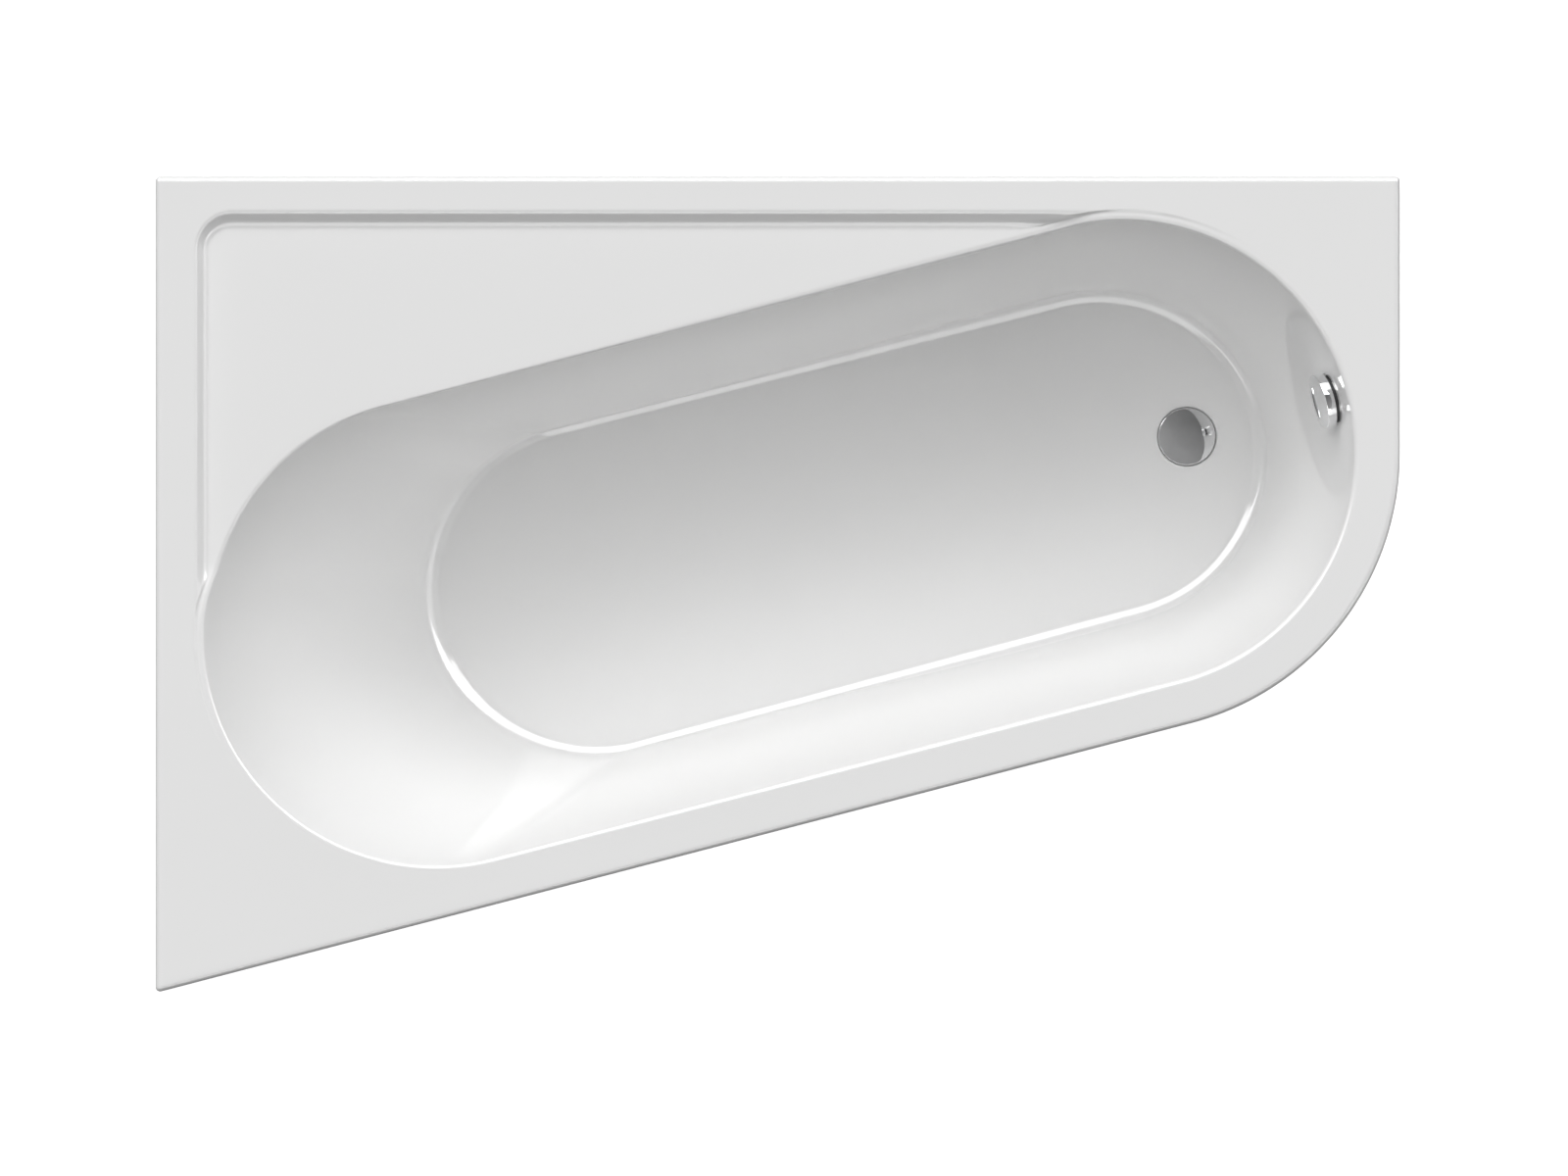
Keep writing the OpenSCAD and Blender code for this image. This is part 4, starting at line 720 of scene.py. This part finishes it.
on_wall, on_floor = wall_matrix(), drain_matrix()
carve(tub, cutter("pad", outer_pad_r, -outer_pad_t, -shell_t / 2, on_wall, fibre), "UNION")
carve(tub, cutter("seat", seat_r, 0.0, outer_pad_t, on_wall, white), "DIFFERENCE")
carve(tub, cutter("hole", hole_r, -3 * outer_pad_t, 3 * outer_pad_t, on_wall, white), "DIFFERENCE")
drain_seat = cutter("drain_seat", drain_seat_r, floor_z - drain_seat_t, floor_z + over, on_floor, white)
carve(tub, drain_seat, "DIFFERENCE")
carve(tub, cutter("drain_hole", hole_r, bottom_z - over, floor_z + over, on_floor, white), "DIFFERENCE")
smooth_all(tub, 32)
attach(tub, "tub")
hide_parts("tub_shell")

# Plug and knob
cap_r, cap_dome, cap_edge, cap_z, under_z = 36.5, 6.8, 0.9, 156.2, 155.2
cap_slopes = ((0.0, 0.3, 0.5, 0.6, 1.0), (0.0, 5.5, 11.3, 12.5, 14.6))
edge_round, edge_w, rib_w, hollow_r, boss_r, stem_r = 0.45, 1.6, 1.0, 24.0, 12.0, 4.0
edge_lift, rib_h, hollow_h, boss_h, socket_deep, cap_n, turned_n = 0.55, 0.5, 2.6, 3.6, 3.0, 40, 160


def cap_height(x):
    """Height of the dome at the share x of its radius: its slope grows fast near the middle."""
    n, total = 60, 0.0
    for i in range(n):
        y = x + (1 - x) * (i + 0.5) / n
        total += math.tan(rad(float(np.interp(y, *cap_slopes)))) * cap_r * (1 - x) / n
    return total


shares = [i / cap_n for i in range(cap_n)]
dome_scale = (cap_dome - cap_edge) / cap_height(0.0)
cap_profile = [(cap_r * x, cap_z + cap_edge + cap_height(x) * dome_scale) for x in shares]
cap_profile += arc(cap_r - edge_round, cap_z + edge_lift, edge_round, 75, -90, 8)
cap_profile += [(cap_r - edge_w, cap_z), (cap_r - edge_w - rib_w, cap_z + rib_h)]
cap_profile += [(hollow_r, cap_z + hollow_h), (boss_r, cap_z + boss_h), (boss_r, under_z)]
cap_profile += [(stem_r, under_z), (stem_r, under_z + socket_deep), (0.0, under_z + socket_deep)]
cap = lathe("plug_dome", cap_profile, [bright], on_floor, turned_n, 40)
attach(cap, "plug")
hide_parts("plug_cap")

knob_r, ring_z, face_dome, face_round, knob_round, face_n = 35.4, 18.9, 2.7, 0.7, 1.2, 24
hub_r, hub_z, knob_gap, bore_r, bore_z = 31.0, 6.9, 2.4, 4.0, 11.5
face_shares = [i / face_n for i in range(face_n + 1)]
face = [((knob_r - face_round) * x, ring_z + face_dome * (1 - x**2)) for x in face_shares]
face += arc(knob_r - face_round, ring_z - face_round, face_round, 82, 0, 6)
face += arc(knob_r - knob_round, hub_z + knob_round, knob_round, 0, -90, 6)
face += [(hub_r, hub_z), (hub_r, knob_gap), (bore_r, knob_gap), (bore_r, bore_z), (0.0, bore_z)]
# The hub faces behind the chrome disc take black: painted shade for the shadow gap between the knob and the
# wall
knob = lathe("turning_knob", face, [bright, black_and_painted_shade], on_wall, turned_n, 30)
off_wall = on_wall.inverted()
for p in knob.data.polygons:
    p.material_index = int((off_wall @ p.center).z < (hub_z - TINY) * MM)
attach(knob, "knob")
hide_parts("overflow_knob")

# Levelling feet
feet = ["head_back", "head_front", "drain_back", "drain_front", "shelf_post", "right_post", "front_post"]
rod_low, rod_over, pitch, rod_r, depth, core_share = 8.0, 1.0, 1.75, 5.0, 0.55, 0.78
cols, turn_rows = 20, 3
pad_r, pad_round, pad_h, neck_r, neck_round, neck_low, neck_high = 26.0, 1.4, 4.6, 12.0, 0.8, 13.6, 16.2
flare_r, flare_z, hollow_in, socket_r = 13.6, 13.0, 13.4, 5.06
pad_in, neck_in = pad_r - pad_round, neck_r - neck_round
pad_profile = [(0, 0), (pad_in, 0)] + arc(pad_in, pad_round, pad_round, -90, 0, 4)
pad_profile += [(pad_r, pad_h)] + arc(pad_in, pad_h, pad_round, 0, 60, 4)
pad_profile += [(flare_r, flare_z)] + arc(hollow_in, neck_low, neck_round, -120, -180, 3)
pad_profile += [(neck_r, neck_high)] + arc(neck_in, neck_high, neck_round, 0, 90, 3)
pad_profile += [(socket_r, neck_high + neck_round), (socket_r, rod_low), (0, rod_low)]


def threaded_rod(top):
    """Points and faces of a rod in millimetres: rings that follow the thread, and a plain upper end."""
    step = pitch / turn_rows
    n = int((top - rod_low - rod_over) / step)
    verts, faces = [], []
    for k in range(n + 1):
        z = rod_low + k * step
        for i in range(cols):
            phase = (z / pitch - i / cols) % 1.0
            tooth = 1 - abs(2 * phase - 1)
            r = rod_r - depth * tooth
            g = math.tau * i / cols
            verts.append((r * math.cos(g), r * math.sin(g), z))
    for i in range(cols):
        g, r = math.tau * i / cols, core_share * rod_r
        verts.append((r * math.cos(g), r * math.sin(g), top))
    for k in range(n + 1):
        for i in range(cols):
            j = (i + 1) % cols
            faces.append((k * cols + i, k * cols + j, (k + 1) * cols + j, (k + 1) * cols + i))
    faces.append(tuple(reversed(range(cols))))
    faces.append(tuple((n + 1) * cols + i for i in range(cols)))
    return verts, faces


for foot in feet:
    lo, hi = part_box("rod_" + foot)
    x, y = (lo[0] + hi[0]) / 2, (lo[1] + hi[1]) / 2
    verts, faces = threaded_rod(hi[2] / MM)
    place = Matrix.Translation((x, y, 0)) @ Matrix.Scale(MM, 4)
    rod = new_object("thread_" + foot, verts, faces, [zinc], place)
    smooth_all(rod, 60)
    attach(rod, "foot_" + foot)
    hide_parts("rod_" + foot)
    base = lathe("foot_" + foot, pad_profile, [black_and_painted_shade], Matrix.Translation((x, y, 0)), 64, 40)
    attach(base, "foot_" + foot)
    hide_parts("pad_" + foot)

# Floor, light and camera
floor_r, floor_n = 9000.0, 96
pale, _, shader = material("pale_floor")
shader.inputs["Base Color"].default_value = (0.85, 0.85, 0.85, 1)
shader.inputs["Roughness"].default_value = 0.9
shader.inputs["Specular IOR Level"].default_value = 0.0
shader.inputs["Emission Color"].default_value = (1, 1, 1, 1)
shader.inputs["Emission Strength"].default_value = 0.9
floor = new_object("studio_floor", circle(floor_r, 0.0, floor_n), [tuple(range(floor_n))], [pale])
floor.visible_diffuse = False
floor.visible_glossy = False

# The sky: the camera sees white, reflections see the softboxes and all else sees the soft sky
world = bpy.data.worlds.new("studio")
scene.world = world
world.use_nodes = True
w = world.node_tree
w.nodes.clear()
out = w.nodes.new("ShaderNodeOutputWorld")


def value(op, a, b=None, c=None, clamp=False):
    """Result of one math node; a, b and c are numbers or sockets."""
    n = w.nodes.new("ShaderNodeMath")
    n.operation = op
    n.use_clamp = clamp
    for i, x in enumerate((a, b, c)):
        if x is None:
            continue
        if isinstance(x, (int, float)):
            n.inputs[i].default_value = x
        else:
            w.links.new(x, n.inputs[i])
    return n.outputs["Value"]


coord = w.nodes.new("ShaderNodeTexCoord")
axes = w.nodes.new("ShaderNodeSeparateXYZ")
w.links.new(coord.outputs["Generated"], axes.inputs["Vector"])
dx, dy, dz = axes.outputs["X"], axes.outputs["Y"], axes.outputs["Z"]
horizon, below_level, tiny_flat = 0.02, 0.35, 0.000001
high = value("MAXIMUM", dz, horizon)
gx, gy = value("DIVIDE", dx, high), value("DIVIDE", dy, high)


def step_up(x, edge, width):
    """0 below the edge, 1 above it, rising evenly over the width."""
    return value("MULTIPLY_ADD", value("SUBTRACT", x, edge), 1 / width, 0.5, clamp=True)


def panel(x0, x1, y0, y1, soft):
    """A softbox in the plane above the tub: bounds are tangents of the angle from straight up."""
    a = value("MULTIPLY", step_up(gx, x0, soft), value("SUBTRACT", 1.0, step_up(gx, x1, soft)))
    b = value("MULTIPLY", step_up(gy, y0, soft), value("SUBTRACT", 1.0, step_up(gy, y1, soft)))
    return value("MULTIPLY", a, b)


above = step_up(dz, 0.0, horizon)
below = value("MULTIPLY", value("SUBTRACT", 1.0, above), below_level)
tilt = value("DIVIDE", value("ARCCOSINE", value("MINIMUM", value("MAXIMUM", dz, 0.0), 1.0)), math.pi / 2)
flat = value("ADD", value("MULTIPLY", dx, dx), value("MULTIPLY", dy, dy))
flat = value("MAXIMUM", flat, tiny_flat)
glow_max, glow_tilts, soft_level = 4.0, (22, 35, 45, 55, 65, 75), 0.975


def glow(way, power, *levels):
    """Soft light from one side; the levels stand at tilts from straight up to level."""
    n = w.nodes.new("ShaderNodeFloatCurve")
    curve = n.mapping.curves[0]
    curve.points[0].location = (0.0, levels[0] / glow_max)
    curve.points[1].location = (1.0, 0.0)
    for angle, level in zip(glow_tilts, levels[1:]):
        curve.points.new(angle / 90, level / glow_max)
    n.mapping.update()
    w.links.new(tilt, n.inputs["Value"])
    part = value("ADD", value("MULTIPLY", dx, math.cos(rad(way))), value("MULTIPLY", dy, math.sin(rad(way))))
    share = value("POWER", value("DIVIDE", value("MAXIMUM", part, 0.0), value("SQRT", flat)), power)
    return value("MULTIPLY", value("MULTIPLY", n.outputs["Value"], share), glow_max)


# Lobes of the soft sky that lights the tub: direction, power and levels
back = glow(94, 2.0, 0.4, 1.5, 1.9, 3.0, 3.5, 2.1, 0.3)
corner = glow(130, 4.0, 0.0, 0.0, 0.3, 1.5, 2.1, 1.3, 0.1)
left = glow(180, 2.0, 0.4, 0.8, 0.4, 0.25, 0.4, 0.2, 0.0)
front = glow(270, 2.0, 0.4, 0.6, 0.25, 0.1, 0.0, 0.0, 0.0)
right = glow(0, 2.0, 0.3, 0.1, 0.1, 0.6, 1.0, 1.0, 0.1)
soft = value("ADD", value("ADD", value("ADD", back, left), value("ADD", front, right)), corner)
soft = value("ADD", value("MULTIPLY", soft, value("MULTIPLY", above, soft_level)), below)

# Softboxes that reflections see; the key's near edge comes closer on both wings
key_near, wing_from, wing_w, right_wing_in, left_wing_in = 0.62, 0.6, 0.2, 0.2, 0.3
key_w, key_far, key_soft, key_level = 2.2, 4.0, 0.06, 9.0
fill_w, fill_far, fill_near, fill_soft, fill_level = 2.5, -1.7, -0.75, 0.08, 4.2
side_from, side_to, side_w, side_soft, side_level = 1.1, 4.0, 1.5, 0.1, 2.5
walls_from, walls_w, wall_level = 1.0, 1.2, 0.4
dark, light, middle, fade_y, fade_x = 0.15, 0.35, 0.235, -0.12, -0.1
right_wing = value("MULTIPLY", step_up(gx, wing_from, wing_w), right_wing_in)
left_wing = value("MULTIPLY", step_up(value("MULTIPLY", gx, -1.0), wing_from, wing_w), left_wing_in)
key_edge = value("SUBTRACT", key_near, value("ADD", right_wing, left_wing))
key = value("MULTIPLY", panel(-key_w, key_w, key_edge, key_far, key_soft), key_level)
fill = value("MULTIPLY", panel(-fill_w, fill_w, fill_far, fill_near, fill_soft), fill_level)
side = value("MULTIPLY", panel(side_from, side_to, -side_w, side_w, side_soft), side_level)
fade = value("MULTIPLY_ADD", gy, fade_y, value("MULTIPLY_ADD", gx, fade_x, middle))
fade = value("MINIMUM", value("MAXIMUM", fade, dark), light)
walls = value("MULTIPLY", step_up(value("ABSOLUTE", gx), walls_from, walls_w), wall_level)
ambient = value("ADD", value("ADD", fade, side), walls)
sharp = value("MULTIPLY", value("ADD", value("ADD", key, fill), ambient), above)
sharp = value("ADD", sharp, below)


def background(strength):
    """White light of an even strength or of one that a socket gives."""
    n = w.nodes.new("ShaderNodeBackground")
    if isinstance(strength, float):
        n.inputs["Strength"].default_value = strength
    else:
        w.links.new(strength, n.inputs["Strength"])
    n.inputs["Color"].default_value = (1, 1, 1, 1)
    return n.outputs["Background"]


def pick(factor, a, b):
    """Shader a where the factor is 0 and b where it is 1."""
    n = w.nodes.new("ShaderNodeMixShader")
    w.links.new(factor, n.inputs["Fac"])
    w.links.new(a, n.inputs[1])
    w.links.new(b, n.inputs[2])
    return n.outputs["Shader"]


path = w.nodes.new("ShaderNodeLightPath")
lit = pick(path.outputs["Is Glossy Ray"], background(soft), background(sharp))
lit = pick(path.outputs["Is Camera Ray"], lit, background(1.0))
w.links.new(lit, out.inputs["Surface"])
world.cycles.sampling_method = "MANUAL"
world.cycles.sample_map_resolution = 1024

view_w, view_x, view_y, view_z = 2.0159, 0.0081, -0.0042, 3.0
cam = bpy.data.cameras.new("camera")
cam.type = "ORTHO"
cam.ortho_scale = view_w
cam.clip_end = 100
camera = bpy.data.objects.new("camera", cam)
camera.location = (view_x, view_y, view_z)
scene.collection.objects.link(camera)
scene.camera = camera
scene.view_settings.view_transform = "Standard"
scene.view_settings.look = "None"
scene.render.film_transparent = False
scene.cycles.max_bounces = 10
scene.cycles.diffuse_bounces = 6
scene.cycles.glossy_bounces = 6
